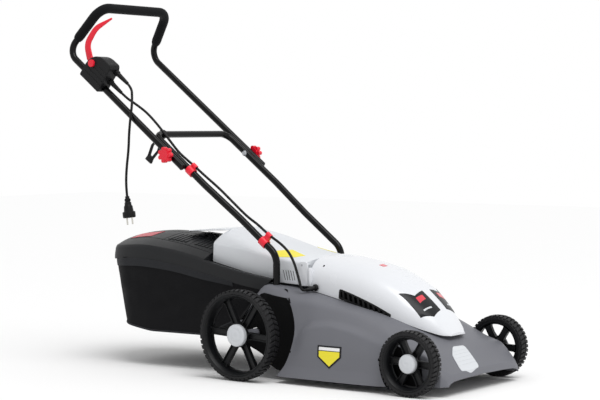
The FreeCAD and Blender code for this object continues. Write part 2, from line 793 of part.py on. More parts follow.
def grille(side_name):
    """Black louvred panel on the cover's flank, with slots between its bars."""
    side = SIDES[side_name]
    slab = prism(f"grille_slab_{side_name}", "XZ", "cover_half_width - 9" if side > 0 else "-cover_half_width - 7",
                 "16", [
                     (along(0.445), f"{seam_drop(0.195)} + 2"),
                     (along(0.745), f"{seam_drop(0.555)} + 2"),
                     (along(0.745), f"{seam_drop(0.555)} + 10"),
                     (along(0.6), f"{seam_drop(0.37)} + 24"),
                     (along(0.445), f"{seam_drop(0.195)} + 28"),
                 ])
    skin = cut(f"grille_skin_{side_name}", doc.getObject("grille_outer"), [doc.getObject("grille_inner")])
    panel = common(f"grille_panel_{side_name}", slab, skin)
    slots = [
        box(f"grille_slot_{side_name}_{index}", ("slot_width", "30", "13"),
            (f"{along(0.468)} + {index} * (slot_width + 8)", "cover_half_width - 20" if side > 0
             else "-cover_half_width - 10", f"{seam_drop(f'(0.235 + {index} * 0.0415)')} + 5"))
        for index in range(8)
    ]
    node(f"vent_grille_{side_name}", cut(f"grille_{side_name}", panel, slots))


def motor_cover():
    """White cover over the motor, with hinge ears for the flap at its rear."""
    outer = loft("cover_outer", cover_sections("0", "0"))
    inner = loft("cover_inner", cover_sections("cover_wall", "5"))
    loft("grille_outer", cover_sections("(-0.3 - grille_thickness)", "0"))
    loft("grille_inner", cover_sections("(-0.3)", "0"))
    shell = cut("cover_shell", outer, [inner])
    ears = []
    ear_face = "(flap_front_half_width + ear_gap)"
    for side_name, side in SIDES.items():
        start = ear_face if side > 0 else f"-{ear_face} - ear_thickness"
        ears.append(box(f"ear_{side_name}", ("cover_rear_x - flap_pin_x + 16", "ear_thickness", "64"),
                        ("flap_pin_x - 9", start, "flap_pin_z - 55")))
        web_start = f"cover_half_width - 8" if side > 0 else f"-{ear_face} - ear_thickness"
        ears.append(box(f"ear_web_{side_name}", ("5", f"{ear_face} + ear_thickness - cover_half_width + 8", "50"),
                        ("cover_rear_x + 1", web_start, "flap_pin_z - 55")))
    windows = [
        prism(f"vent_window_{side_name}", "XZ", "80" if side > 0 else "-150", "70", [
            (along(0.465), f"{seam_drop(0.225)} + 6"),
            (along(0.72), f"{seam_drop(0.53)} + 6"),
            (along(0.6), f"{seam_drop(0.37)} + 18"),
            (along(0.465), f"{seam_drop(0.225)} + 20"),
        ])
        for side_name, side in SIDES.items()
    ]
    pin_hole = cylinder("ear_pin_hole", "flap_pin_radius", "300", ("flap_pin_x", "-150", "flap_pin_z"), "Y")
    gland_hole = cylinder("cover_gland_hole", "gland_radius + 1", "60",
                          (f"{MOTOR_LEAD_HOLE.x}", "-150", f"{MOTOR_LEAD_HOLE.z}"), "Y")
    node("motor_cover", cut("cover_cut", fuse("cover_solid", [shell] + ears), windows + [pin_hole, gland_hole]))
    for side_name in SIDES:
        grille(side_name)


def flap_hinge():
    """Hinge pin, and the coil spring that shuts the flap."""
    reach = "(flap_front_half_width + ear_gap + ear_thickness)"
    node("flap_pin", cylinder("flap_pin_rod", "flap_pin_radius", f"2 * {reach}",
                              ("flap_pin_x", f"-{reach}", "flap_pin_z"), "Y"))
    pitch, turns, wire = 3.0, 8, 0.9
    coil_radius = value("flap_pin_radius") + 0.4 + wire
    helix = Part.makeHelix(pitch, pitch * turns, coil_radius)
    ring = Part.Wire([Part.Circle(Vector(coil_radius, 0, 0), Vector(0, 1, 0), wire).toShape()])
    spring = Part.Wire(helix).makePipeShell([ring], True, True)
    seat = FreeCAD.Placement(
        Vector(value("flap_pin_x"), -value("flap_front_half_width") + 30, value("flap_pin_z")),
        FreeCAD.Rotation(Vector(1, 0, 0), -90))
    feature_from("flap_spring", spring, seat)


def flap_sections(wall, depth):
    """Half outlines of the flap, ridge first, from its rear edge to its hinge."""
    stations = [
        (f"flap_rear_x + {wall}", "flap_rear_half_width", "298", "flap_ridge_z", "347"),
        ("flap_rear_x + 202", "flap_front_half_width + 6", "253", "flap_ridge_z - 48", "315"),
        ("flap_pin_x + 6", "flap_front_half_width", "247", "flap_pin_z + 16", "flap_pin_z + 6"),
    ]
    sections = []
    for x, half, foot, ridge, edge in stations:
        sections.append((x, [
            ("20", f"{ridge} - {wall}"),
            (f"0.74 * ({half} - {wall})", f"{ridge} - 0.25 * ({ridge} - {edge}) - {wall}"),
            (f"{half} - 1 - {wall}", f"{edge} - {wall}"),
            (f"{half} - {wall}", f"{foot} - {depth}"),
        ]))
    return sections


def rear_flap():
    """White discharge flap: a hood over the chute, a tongue over the box, and hinge lugs."""
    shell = cut("flap_shell", loft("flap_outer", flap_sections("0", "0")),
                [loft("flap_inner", flap_sections("flap_wall", "5"))])
    tongue = loft("flap_tongue", [
        ("flap_rear_x - 150", [("10", "375"), ("66", "372"), ("66", "369.5"), ("10", "372.5")]),
        ("flap_rear_x + 1", [("10", "382"), ("84", "378"), ("84", "373"), ("10", "378")]),
    ])
    lugs = [
        cylinder(f"flap_lug_{side_name}", "flap_pin_radius + 4", "22",
                 ("flap_pin_x", "flap_front_half_width - 23" if side > 0 else "-flap_front_half_width + 1",
                  "flap_pin_z"), "Y")
        for side_name, side in SIDES.items()
    ]
    bore = cylinder("flap_bore", "flap_pin_radius + running_clearance", "300",
                    ("flap_pin_x", "-150", "flap_pin_z"), "Y")
    node("rear_flap", cut("flap_cut", fuse("flap_solid", [shell, tongue] + lugs), [bore]))


# ---------------------------------------------------------------------------
# Grass box: hard cover, fabric bag and mouth frame
# ---------------------------------------------------------------------------
def box_stations():
    """Each station: x, half width, rim height, crown height, floor height."""
    return [
        ("box_rear_x", "0.34 * box_half_width", "318", "box_crown_z - 32", "262"),
        ("box_rear_x + 28", "0.72 * box_half_width", "320", "box_crown_z - 18", "190"),
        ("box_rear_x + 68", "0.93 * box_half_width", "322", "box_crown_z - 8", "135"),
        ("box_rear_x + 117", "0.99 * box_half_width", "336", "box_crown_z - 3", "box_floor_z + 18"),
        ("box_rear_x + 160", "box_half_width", "343", "box_crown_z", "box_floor_z + 6"),
        ("box_rear_x + 250", "box_half_width - 5", "327", "box_crown_z - 3", "box_floor_z"),
        ("flap_rear_x - 6", "box_half_width - 12", "303", "box_crown_z - 14", "box_floor_z"),
    ]


def tray_stations():
    """Stations under the flap, where the cover is a low tray."""
    return [
        ("flap_rear_x - 8", "box_half_width - 12", "303", "box_floor_z"),
        ("box_front_x - 90", "box_front_half_width + 2", "276", "deck_rear_z - 4"),
        ("box_front_x + 10", "box_front_half_width", "262", "deck_rear_z - 4"),
    ]


def cover_outline(half, rim, crown, wall, depth):
    return [
        (f"0.30 * {half}", f"{crown} - {wall}"),
        (f"0.66 * {half} - {wall}", f"{crown} - 6 - {wall}"),
        (f"{half} - {wall}", f"{rim} - {wall}"),
        (f"{half} - {wall}", f"{rim} - rim_depth_z - {depth}"),
    ]


def tray_outline(half, rim, wall, depth):
    return [
        (f"{half} - 20 + {wall}", f"{rim} - 12 - {wall}"),
        (f"{half} - 19 + {wall}", f"{rim} - {wall}"),
        (f"{half} - {wall}", f"{rim} - {wall}"),
        (f"{half} - {wall}", f"{rim} - rim_depth_z - {depth}"),
    ]


def bag_outline(half, rim, floor, wall, lift):
    return [
        (f"{half} - {wall}", f"{rim} - rim_depth_z + {lift}"),
        (f"{half} - {wall}", f"({rim} - rim_depth_z + {floor}) / 2"),
        (f"{half} - 6 - {wall}", f"{floor} + {wall}"),
    ]


def mouth_slab(name, gap, depth):
    """Slab parallel to the deck's sloping mouth, gap behind it."""
    lean = "(deck_corner_x - deck_rear_x) / (deck_corner_z - deck_rear_z)"
    low = f"(deck_rear_x - 60 * {lean} - {gap} * 1.34)"
    high = f"(deck_corner_x + 60 * {lean} - {gap} * 1.34)"
    return prism(name, "XZ", "-300", "600", [
        (low, "deck_rear_z - 60"), (f"{low} + {depth}", "deck_rear_z - 60"),
        (f"{high} + {depth}", "deck_corner_z + 60"), (high, "deck_corner_z + 60")])


def grass_box():
    """Box whose front end leans against the deck's mouth, with a true opening there."""
    front_stop = box("box_front_stop", ("200", "600", "600"), ("box_front_x", "-300", "0"))
    beyond = mouth_slab("beyond_mouth", "box_gap", "400")
    frame_zone = mouth_slab("frame_zone", "(box_gap + frame_depth / 1.34)", "frame_depth")

    dome = cut("dome_shell",
               loft("dome_outer", [(x, cover_outline(half, rim, crown, "0", "0"))
                                   for x, half, rim, crown, floor in box_stations()]),
               [loft("dome_inner", [(f"{x} + {3 if index == 0 else 0}", cover_outline(half, rim, crown, "box_wall", "1"))
                                    for index, (x, half, rim, crown, floor) in enumerate(box_stations())])])
    tray = cut("tray_shell",
               loft("tray_outer", [(x, tray_outline(half, rim, "0", "0"))
                                   for x, half, rim, floor in tray_stations()]),
               [loft("tray_inner", [(x, tray_outline(half, rim, "box_wall", "1"))
                                    for x, half, rim, floor in tray_stations()])])
    step = prism("cover_step", "YZ", "flap_rear_x - 9", "2.5", [
        ("-0.62 * box_half_width", "box_crown_z - 22"), ("0.62 * box_half_width", "box_crown_z - 22"),
        ("box_half_width - 33", "289"), ("-box_half_width + 33", "289")])
    node("grass_box_cover", cut("box_cover_cut", fuse("box_cover_solid", [dome, tray, step]),
                                [front_stop, beyond, frame_zone]))

    profile = [(x, half, rim, floor) for x, half, rim, crown, floor in box_stations()] + tray_stations()[1:]
    bag_outer = loft("bag_outer", [(x, bag_outline(half, rim, floor, "0", "-0.1"))
                                   for x, half, rim, floor in profile])
    bag_inner = loft("bag_inner", [(f"{x} + {3 if index == 0 else 0}", bag_outline(half, rim, floor, "box_wall", "2"))
                                   for index, (x, half, rim, floor) in enumerate(profile)])
    bag_shell = cut("bag_shell", bag_outer, [bag_inner])
    node("grass_bag", cut("bag_cut", bag_shell, [front_stop, beyond, frame_zone]))

    envelope = [("flap_rear_x - 6", "box_half_width - 12", "303", "box_floor_z")] + tray_stations()[1:]
    rim_outer = loft("frame_outer", [(x, [
        (f"{half}", f"{rim} - 13"), (f"{half}", f"{floor} + 10"), (f"{half} - 6", floor)])
        for x, half, rim, floor in envelope])
    rim_inner = loft("frame_inner", [(x, [
        (f"{half} - 12", f"{rim} - 25"), (f"{half} - 12", f"{floor} + 20"), (f"{half} - 18", f"{floor} + 12")])
        for x, half, rim, floor in envelope])
    ring = cut("frame_ring", rim_outer, [rim_inner])
    node("grass_box_frame", cut("frame_cut", common("frame_slice", ring, frame_zone), [beyond, front_stop]))


# ---------------------------------------------------------------------------
# Handles
# ---------------------------------------------------------------------------
SLOPE = math.radians(value("handle_slope"))
PIVOT_X = value("leg_x - pivot_run * cos(handle_slope)")
PIVOT_Z = value("leg_bend_z + pivot_run * sin(handle_slope)")
UPPER_HALF_WIDTH = "(lower_half_width + 2 * tube_radius + tube_gap)"


def on_slope(run, y, rise=0.0):
    """Point at run along the lower handle's slope from its leg bend, and rise above that line."""
    return Vector(
        value("leg_x") - run * math.cos(SLOPE) + rise * math.sin(SLOPE), y,
        value("leg_bend_z") + run * math.sin(SLOPE) + rise * math.cos(SLOPE))


def past_pivot(run, y, rise=0.0):
    """Point at run past the folding axis, along the upper handle."""
    return on_slope(value("pivot_run") + run, y, rise)


def lower_handle_path():
    """Two legs, their slopes and the crossbar, as one bent tube."""
    leg, wide = value("leg_half_width"), value("lower_half_width")
    half = [
        Vector(value("leg_x"), leg, value("leg_foot_z")),
        on_slope(0, leg),
        on_slope(value("toe_start_run"), leg),
        on_slope(value("toe_end_run"), wide),
        on_slope(value("crossbar_run"), wide),
    ]
    toe_radius = 160.0
    radii = [value("leg_bend_radius"), toe_radius, toe_radius, value("crossbar_bend_radius")]
    points = half + [Vector(spot.x, -spot.y, spot.z) for spot in reversed(half)]
    return bent_path(points, radii + radii[::-1])


def upper_handle_path():
    wide, narrow = value(UPPER_HALF_WIDTH), value("grip_half_width")
    half = [
        past_pivot(-value("upper_tail"), wide),
        past_pivot(value("upper_reach"), wide),
        Vector(value("grip_x"), narrow, value("grip_z")),
    ]
    radii = [value("upper_bend_radius"), value("grip_bend_radius")]
    points = half + [Vector(spot.x, -spot.y, spot.z) for spot in reversed(half)]
    return bent_path(points, radii + radii[::-1])


def grip_path():
    """Foam's path: over the top bar and down both sides to just past the lower bends."""
    corner = past_pivot(value("upper_reach"), value(UPPER_HALF_WIDTH))
    top = Vector(value("grip_x"), value("grip_half_width"), value("grip_z"))
    start = corner + (top - corner).normalize() * (value("upper_bend_radius") + 4)
    half = [start, top]
    points = half + [Vector(spot.x, -spot.y, spot.z) for spot in reversed(half)]
    return bent_path(points, [value("grip_bend_radius")] * 2)


def pivot_bore(radius):
    reach = value(UPPER_HALF_WIDTH) + 60
    return Part.makeCylinder(radius, 2 * reach, Vector(PIVOT_X, -reach, PIVOT_Z), Vector(0, 1, 0))


def handles():
    radius, wall = value("tube_radius"), value("tube_wall")
    bore = value("bolt_radius + running_clearance")
    feature_from("handle_lower", hollow_tube(lower_handle_path(), radius, wall).cut(pivot_bore(bore)))
    feature_from("handle_upper", hollow_tube(upper_handle_path(), radius, wall).cut(pivot_bore(bore)))
    path = grip_path()
    feature_from("foam_grip", sweep_round(path, value("grip_radius")).cut(sweep_round(path, radius)))

    caps = []
    for side_name, side in SIDES.items():
        cap = new_body(f"end_cap_{side_name}",
                       ("leg_x - (pivot_run - upper_tail) * cos(handle_slope)", f"{side} * {UPPER_HALF_WIDTH}",
                        "leg_bend_z + (pivot_run - upper_tail) * sin(handle_slope)"),
                       (0, 1, 0), "handle_slope - 90")
        revolve(cap, f"end_cap_turned_{side_name}", [
            ("0", "-3"), ("tube_radius - 1", "-3"), ("tube_radius", "-2"), ("tube_radius", "0"),
            ("tube_radius - tube_wall", "0"), ("tube_radius - tube_wall", "9"), ("0", "9")])
        caps.append(cap)
    node("handle_end_caps", group("end_cap_pair", caps))


def pivot_bolts_and_knobs():
    """Bolts through both tubes at the folding axis, each with a star knob outside."""
    pivot_at = ("leg_x - pivot_run * cos(handle_slope)", "leg_bend_z + pivot_run * sin(handle_slope)")
    inner = "(lower_half_width - tube_radius)"
    knob_seat = f"({UPPER_HALF_WIDTH} + tube_radius + knob_gap)"
    bolts = []
    for side_name, side in SIDES.items():
        bolt = new_body(f"pivot_bolt_{side_name}", (pivot_at[0], f"{side} * {inner}", pivot_at[1]),
                        (1, 0, 0), -90 * side)
        length = f"({knob_seat} - {inner} + knob_thickness - 4)"
        revolve(bolt, f"pivot_bolt_turned_{side_name}", [
            ("0", "-bolt_head_height"), ("bolt_head_radius - 3", "-bolt_head_height"), ("bolt_head_radius", "-0.5"),
            ("bolt_head_radius", "0"), ("bolt_radius", "0"), ("bolt_radius", length), ("0", length)])
        bolts.append(bolt)

        knob = new_body(f"knob_{side_name}", (pivot_at[0], f"{side} * {knob_seat}", pivot_at[1]),
                        (1, 0, 0), -90 * side)
        core = draw_circle(body_sketch(knob, f"knob_core_{side_name}", "XY"), "knob_core_radius")
        pad(knob, f"knob_disc_{side_name}", core, "knob_thickness")
        lobe = draw_circle(body_sketch(knob, f"knob_lobe_{side_name}", "XY", "3"), "knob_lobe_radius",
                           ("knob_core_radius + 1", "0"))
        polar(knob, f"knob_star_{side_name}", pad(knob, f"knob_lobe_pad_{side_name}", lobe, "knob_thickness - 4"), 7)
        hole = draw_circle(body_sketch(knob, f"knob_hole_{side_name}", "XY"), "bolt_radius + running_clearance")
        knob.Tip = pocket(knob, f"knob_bore_{side_name}", hole, "knob_thickness - 3", reverse=True)
        node(f"knob_{side_name}", knob)
    node("pivot_bolts", group("pivot_bolt_pair", bolts))


def leg_screws():
    """Screws that hold the legs in the deck's sockets, from outside."""
    screws = []
    for side_name, side in SIDES.items():
        screw = new_body(f"leg_screw_{side_name}", ("leg_x", f"{side} * (leg_half_width + tube_radius)",
                                                    "leg_foot_z + 22"), (1, 0, 0), -90 * side)
        revolve(screw, f"leg_screw_turned_{side_name}", [
            ("0", "0"), ("2", "0"), ("2", "socket_wall"), ("5", "socket_wall"), ("4", "socket_wall + 3"),
            ("0", "socket_wall + 3")])
        screws.append(screw)
    return group("leg_screw_pair", screws)


def cable_clip(label, run, rise, y):
    """Red clip: a collar round the right leg and a smaller ring above it for the lead."""
    clip = new_body(label, (f"leg_x - {run} * cos(handle_slope)", f"-{y}", f"leg_bend_z + {run} * sin(handle_slope)"),
                    (0, 1, 0), "handle_slope - 90")
    collar = draw_circle(body_sketch(clip, f"{label}_collar", "XY", "-clip_length / 2"), "tube_radius + clip_wall")
    pad(clip, f"{label}_collar_pad", collar, "clip_length")
    ring = draw_circle(body_sketch(clip, f"{label}_ring", "XY", "-clip_length / 2 + 3"), "lead_radius + clip_wall",
                       (rise, "clip_inset"))
    pad(clip, f"{label}_ring_pad", ring, "clip_length - 6")
    bridge = draw_polygon(body_sketch(clip, f"{label}_bridge", "XY", "-clip_length / 2 + 3"), [
        ("2", "-4"), (rise, "-2"), (rise, "clip_inset + 5"), ("2", "6")])
    pad(clip, f"{label}_bridge_pad", bridge, "clip_length - 6")
    bore = draw_circle(body_sketch(clip, f"{label}_bore", "XY", "-clip_length / 2"), "tube_radius")
    pocket(clip, f"{label}_bore_cut", bore, "clip_length", reverse=True)
    hole = draw_circle(body_sketch(clip, f"{label}_hole", "XY", "-clip_length / 2"), "lead_radius + 0.4",
                       (rise, "clip_inset"))
    clip.Tip = pocket(clip, f"{label}_hole_cut", hole, "clip_length", reverse=True)
    node(label, clip)


# ---------------------------------------------------------------------------
# Switch box, its controls, glands and leads
# ---------------------------------------------------------------------------
SLOPED_AT = ("leg_x - pivot_run * cos(handle_slope)", "0", "leg_bend_z + pivot_run * sin(handle_slope)")


def switch_outline(wall):
    """Side outline in the sloped frame: X runs down the tube, Z rises from it."""
    return [
        (f"-switch_far_run + {wall}", f"-switch_depth + {wall}"),
        (f"-switch_near_run - {wall}", f"-switch_depth + {wall}"),
        (f"-switch_near_run - {wall}", f"switch_height - 8 - {wall}"),
        (f"-switch_near_run - 8 - {wall}", f"switch_height - {wall}"),
        (f"-switch_near_run - 45", f"switch_height - 2 - {wall}"),
        (f"-switch_far_run + 20 + {wall} / 2", f"switch_height - 12 - {wall}"),
        (f"-switch_far_run + 4 + {wall}", "switch_height - 34"),
        (f"-switch_far_run + {wall}", "switch_height - 58"),
    ]


def housing_half(label, outer_y, inner_y, closed_at_outer):
    """Half of the switch box, between two Y distances on the right side of the mower."""
    shell = new_body(label, SLOPED_AT, (0, 1, 0), "handle_slope")
    pad(shell, f"{label}_blank", draw_polygon(body_sketch(shell, f"{label}_outline", "XZ", inner_y),
                                              switch_outline("0")), f"{outer_y} - {inner_y}")
    start = inner_y if closed_at_outer else f"{inner_y} + switch_wall"
    cavity = draw_polygon(body_sketch(shell, f"{label}_cavity_outline", "XZ", start), switch_outline("switch_wall"))
    pocket(shell, f"{label}_cavity", cavity, f"{outer_y} - {inner_y} - switch_wall", reverse=True)
    tube = draw_circle(body_sketch(shell, f"{label}_tube_outline", "YZ", "-switch_far_run - 10"), "tube_radius",
                       (f"-{UPPER_HALF_WIDTH}", "0"))
    pocket(shell, f"{label}_tube_bore", tube, "switch_far_run - switch_near_run + 20", reverse=True)
    return shell


def switch_box():
    """Two halves clamped round the upper tube, with the switch block inside."""
    outer_half = housing_half("switch_housing_outer", "switch_outer_y", "switch_split_y", True)
    hole = draw_circle(body_sketch(outer_half, "button_hole_outline", "XZ", "switch_split_y"),
                       "button_radius + button_clearance", ("-bail_pivot_run", "bail_pivot_rise"))
    outer_half.Tip = pocket(outer_half, "button_hole", hole, "40", reverse=True)
    node("switch_housing_outer", outer_half)

    inner_half = housing_half("switch_housing_inner", "switch_split_y", "switch_inner_y", False)
    slot = draw_polygon(body_sketch(inner_half, "bail_slot_outline", "XZ", "switch_inner_y + switch_wall"), [
        ("-switch_far_run - 5", "12"), ("-switch_far_run + 8", "12"),
        ("-switch_far_run + 8", "56"), ("-switch_far_run - 5", "56")])
    pocket(inner_half, "bail_slot", slot, "switch_split_y - switch_inner_y - switch_wall", reverse=True)
    stub = draw_circle(body_sketch(inner_half, "bail_stub_outline", "XZ", "switch_inner_y + switch_wall / 2"),
                       "4", ("-bail_pivot_run", "bail_pivot_rise"))
    inner_half.Tip = pad(inner_half, "bail_stub", stub, "18")
    node("switch_housing_inner", inner_half)

    block = new_body("switch_block", SLOPED_AT, (0, 1, 0), "handle_slope")
    body_outline = draw_polygon(body_sketch(block, "switch_block_outline", "XZ", "switch_inner_y + switch_wall"), [
        ("-switch_near_run - 42", "16"), ("-switch_near_run - 8", "16"),
        ("-switch_near_run - 8", "64"), ("-switch_near_run - 42", "64")])
    pad(block, "switch_block_pad", body_outline, "switch_outer_y - switch_inner_y - 2 * switch_wall")
    node("switch_block", block)


def lock_button():
    """Round red button on the switch box's outer face; it slides inward."""
    button = new_body("lock_button", SLOPED_AT, (0, 1, 0), "handle_slope")
    centre = ("-bail_pivot_run", "bail_pivot_rise")
    flange = draw_circle(body_sketch(button, "button_flange_outline", "XZ",
                                     "switch_outer_y - switch_wall - button_clearance - 2"),
                         "button_radius + 2", centre)
    pad(button, "button_flange", flange, "2")
    face = draw_circle(body_sketch(button, "button_outline", "XZ", "switch_outer_y - switch_wall - 3"),
                       "button_radius", centre)
    pad(button, "button_face", face, "button_stand_out + switch_wall + 3")
    node("lock_button", button)


def bail_lever():
    """Red bail: a hub in the switch box and a curved arm that follows the grip."""
    hub_y = -value("switch_inner_y + switch_wall + 8")
    hub = past_pivot(value("bail_pivot_run"), hub_y, value("bail_pivot_rise"))
    points = [
        hub,
        hub + Vector(-36, -1.5, 12),
        hub + Vector(-48, -1.5, 56),
        hub + Vector(-20, 5, 100),
        hub + Vector(28, 20, 127),
    ]
    radius = value("bail_radius")
    arm = sweep_round(bent_path(points, [16, 40, 60]), radius)
    width = 13.0
    drum = Part.makeCylinder(value("bail_hub_radius"), width, hub - Vector(0, width / 2, 0), Vector(0, 1, 0))
    bore = Part.makeCylinder(4 + value("running_clearance"), 30, hub - Vector(0, 15, 0), Vector(0, 1, 0))
    feature_from("bail_lever", arm.fuse(drum).cut(bore).removeSplitter())


def gland(label, y, rise):
    """Tapered rubber sleeve on the switch box's lower end, round a lead."""
    sleeve = new_body(label, (f"leg_x - (pivot_run + switch_near_run) * cos(handle_slope) + {rise} * sin(handle_slope)",
                              f"-{y}",
                              f"leg_bend_z + (pivot_run + switch_near_run) * sin(handle_slope)"
                              f" + {rise} * cos(handle_slope)"), (0, 1, 0), "handle_slope + 90")
    revolve(sleeve, f"{label}_turned", [
        ("0", "0"), ("gland_radius + 2", "0"), ("gland_radius + 2", "5"), ("gland_radius", "6"),
        ("lead_radius + 1.2", "gland_length"), ("0", "gland_length")])
    node(label, sleeve)


def deck_gland():
    """Rubber sleeve where the motor lead enters the cover's right flank."""
    start, end = MOTOR_LEAD_END, MOTOR_LEAD_HOLE
    heading = end - start
    sleeve = Part.makeCone(value("lead_radius + 1.5"), value("gland_radius"), heading.Length, start, heading)
    collar = Part.makeCylinder(value("gland_radius") + 2, 5, end - heading.normalize() * 8, heading)
    feature_from("motor_lead_gland", sleeve.fuse(collar).removeSplitter())


MOTOR_LEAD_END = Vector(179, -147, 238)
MOTOR_LEAD_HOLE = Vector(192.7, -117.5, 243.9)


def motor_lead():
    """Lead from the switch box down the right leg, through both clips, to the cover."""
    clip_y = [-(value("lower_half_width") - value("clip_inset")), -(value("leg_half_width") - value("clip_inset"))]
    gland_tip = past_pivot(value("switch_near_run - gland_length"), -value("motor_gland_y"), value("motor_gland_rise"))
    upper = on_slope(value("upper_clip_run"), clip_y[0], value("upper_clip_rise"))
    lower = on_slope(value("lower_clip_run"), clip_y[1], value("lower_clip_rise"))
    points = [
        gland_tip,
        gland_tip + Vector(math.cos(SLOPE), 0, -math.sin(SLOPE)) * 26,
        Vector(-394, -166, 727),
        Vector(-362, -157, 704),
        Vector(-330, -150, 672),
        Vector(-293, -144, 630),
        Vector(-262, -141, 596),
        Vector(-232, -147, 578),
        upper,
        Vector(-158, -152, 531),
        Vector(-110, -148, 497),
        Vector(-62, -147, 459),
        Vector(-16, -146, 423),
        Vector(20, -147, 404),
        lower,
        Vector(96, -149, 357),
        Vector(124, -150, 336),
        Vector(144, -153, 308),
        Vector(156, -156, 281),
        Vector(164, -158, 262),
        Vector(168.3, -159.3, 251),
        Vector(170.6, -159.8, 243.6),
        Vector(173.3, -157, 239),
        Vector(176.4, -152.3, 236.9),
        MOTOR_LEAD_END,
    ]
    cord("motor_lead", points)


def plug_frame():
    """Plug's place and heading: it hangs from the cord with a slight tilt."""
    top = Vector(-397, -200, 471)
    tilt = math.radians(value("plug_tilt"))
    return top, Vector(math.sin(tilt), 0, -math.cos(tilt))


def power_lead():
    """Short lead from the upper gland, over the tube's outer side, down to the plug."""
    top, heading = plug_frame()
    gland_tip = past_pivot(value("switch_near_run - gland_length"), -value("power_gland_y"), value("power_gland_rise"))
    points = [
        gland_tip,
        gland_tip + Vector(18, -3, -14),
        Vector(-394, -181, 749),
        Vector(-386, -191, 722),
        Vector(-385, -199, 686),
        Vector(-388, -201, 646),
        Vector(-391, -200, 600),
        Vector(-398, -201, 548),
        top - heading * 30,
        top,
    ]
    cord("power_lead", points)


def power_plug():
    """Two-pin plug with a ribbed neck."""
    top, heading = plug_frame()
    at = (str(top.x), str(top.y), str(top.z))
    shell = new_body("power_plug", at, (0, 1, 0), "-plug_tilt")
    revolve(shell, "plug_turned", [
        ("0", "0"), ("6", "0"), ("6", "-6"), ("8.5", "-8"), ("8.5", "-13"), ("7", "-15"), ("9.5", "-18"),
        ("9.5", "-24"), ("12", "-28"), ("13.5", "-42"), ("plug_flange_radius", "-44"),
        ("plug_flange_radius", "2 - plug_length"), ("plug_flange_radius - 2", "-plug_length"),
        ("0", "-plug_length")])
    for index, sign in enumerate((-1, 1)):
        hole = draw_circle(body_sketch(shell, f"pin_hole_outline_{index}", "XY", "-plug_length"), "pin_root_radius",
                           (f"{sign} * pin_spacing / 2", "0"))
        shell.Tip = pocket(shell, f"pin_hole_{index}", hole, "pin_root_length", reverse=True)
    node("power_plug", shell)
    pins = []
    for index, sign in enumerate((-1, 1)):
        pin = new_body(f"plug_pin_{index}", at, (0, 1, 0), "-plug_tilt")
        centre = (f"{sign} * pin_spacing / 2", "0")
        tip = body_sketch(pin, f"plug_pin_outline_{index}", "XY", "-plug_length - pin_neck - pin_length")
        pad(pin, f"plug_pin_pad_{index}", draw_circle(tip, "pin_radius", centre), "pin_length")
        neck = body_sketch(pin, f"plug_pin_root_outline_{index}", "XY", "-plug_length - pin_neck")
        pad(pin, f"plug_pin_root_{index}", draw_circle(neck, "pin_root_radius", centre),
            "pin_neck + pin_root_length")
        pins.append(pin)
    node("plug_pins", group("plug_pin_pair", pins))


def cable_hook():
    """Plastic strain-relief hook that hangs from the crossbar by a ring."""
    hook = new_body("cable_hook", (
        "leg_x - crossbar_run * cos(handle_slope)", "-hook_y",
        "leg_bend_z + crossbar_run * sin(handle_slope)"), (0, 1, 0), "hook_tilt")
    ring = draw_circle(body_sketch(hook, "hook_ring_outline", "XZ"), "tube_radius + 3.5")
    pad(hook, "hook_ring", ring, "hook_width")
    loop = draw_polygon(body_sketch(hook, "hook_loop_outline", "XZ"), [
        ("-6", "-tube_radius"), ("6", "-tube_radius"), ("16", "-hook_length / 2"), ("10", "-hook_length + 14"),
        ("12", "-hook_length"), ("-12", "-hook_length"), ("-10", "-hook_length + 14"), ("-16", "-hook_length / 2")])
    pad(hook, "hook_loop", loop, "hook_width")
    bore = draw_circle(body_sketch(hook, "hook_bore_outline", "XZ"), "tube_radius + 0.1")
    pocket(hook, "hook_bore", bore, "hook_width", reverse=True)
    eye = draw_polygon(body_sketch(hook, "hook_eye_outline", "XZ"), [
        ("-3", "-tube_radius - 8"), ("3", "-tube_radius - 8"), ("11", "-hook_length / 2"),
        ("5", "-hook_length + 18"), ("-5", "-hook_length + 18"), ("-11", "-hook_length / 2")])
    hook.Tip = pocket(hook, "hook_eye", eye, "hook_width", reverse=True)
    node("cable_hook", hook)


# ---------------------------------------------------------------------------
# Build, check and write
# ---------------------------------------------------------------------------
def check_document():
    """Stop if any object failed or any sub-part isn't a sound solid."""
    failed = [item.Name for item in doc.Objects if "Invalid" in item.State or "Error" in item.State]
    if failed:
        raise RuntimeError(f"objects that failed: {failed}")
    for label, thing in nodes.items():
        shape = thing.Shape
        if shape.isNull() or not shape.isValid() or not shape.Solids:
            raise RuntimeError(f"{label}: no sound solid")


def write_parts():
    os.makedirs("parts", exist_ok=True)
    for label, thing in nodes.items():
        thing.Shape.exportStep(os.path.join("parts", f"{label}.step"))


def main():
    for end in ("rear", "front"):
        for side_name in SIDES:
            wheel(end, side_name)
        axle(end)
    deck()
    motor()
    blade_set()
    motor_cover()
    flap_hinge()
    rear_flap()
    grass_box()
    handles()
    pivot_bolts_and_knobs()
    node("leg_screws", leg_screws())
    cable_clip("cable_clip_upper", "upper_clip_run", "upper_clip_rise", "lower_half_width")
    cable_clip("cable_clip_lower", "lower_clip_run", "lower_clip_rise", "leg_half_width")
    switch_box()
    lock_button()
    bail_lever()
    gland("power_lead_gland", "power_gland_y", "power_gland_rise")
    gland("motor_lead_upper_gland", "motor_gland_y", "motor_gland_rise")
    motor_lead()
    deck_gland()
    power_lead()
    power_plug()
    cable_hook()
    doc.recompute()
    check_document()
    write_parts()
    print(len(nodes), "sub-parts written")


main()
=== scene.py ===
"""Looks of a corded push lawn mower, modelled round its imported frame.

Sizes inside the classes are millimetres and become metres when a mesh is made. The frame's axes
are +X forward, +Y to the operator's left and +Z up.
"""

import logging
import math
from dataclasses import dataclass
from enum import Enum
from typing import Any, Iterable, Optional, Sequence

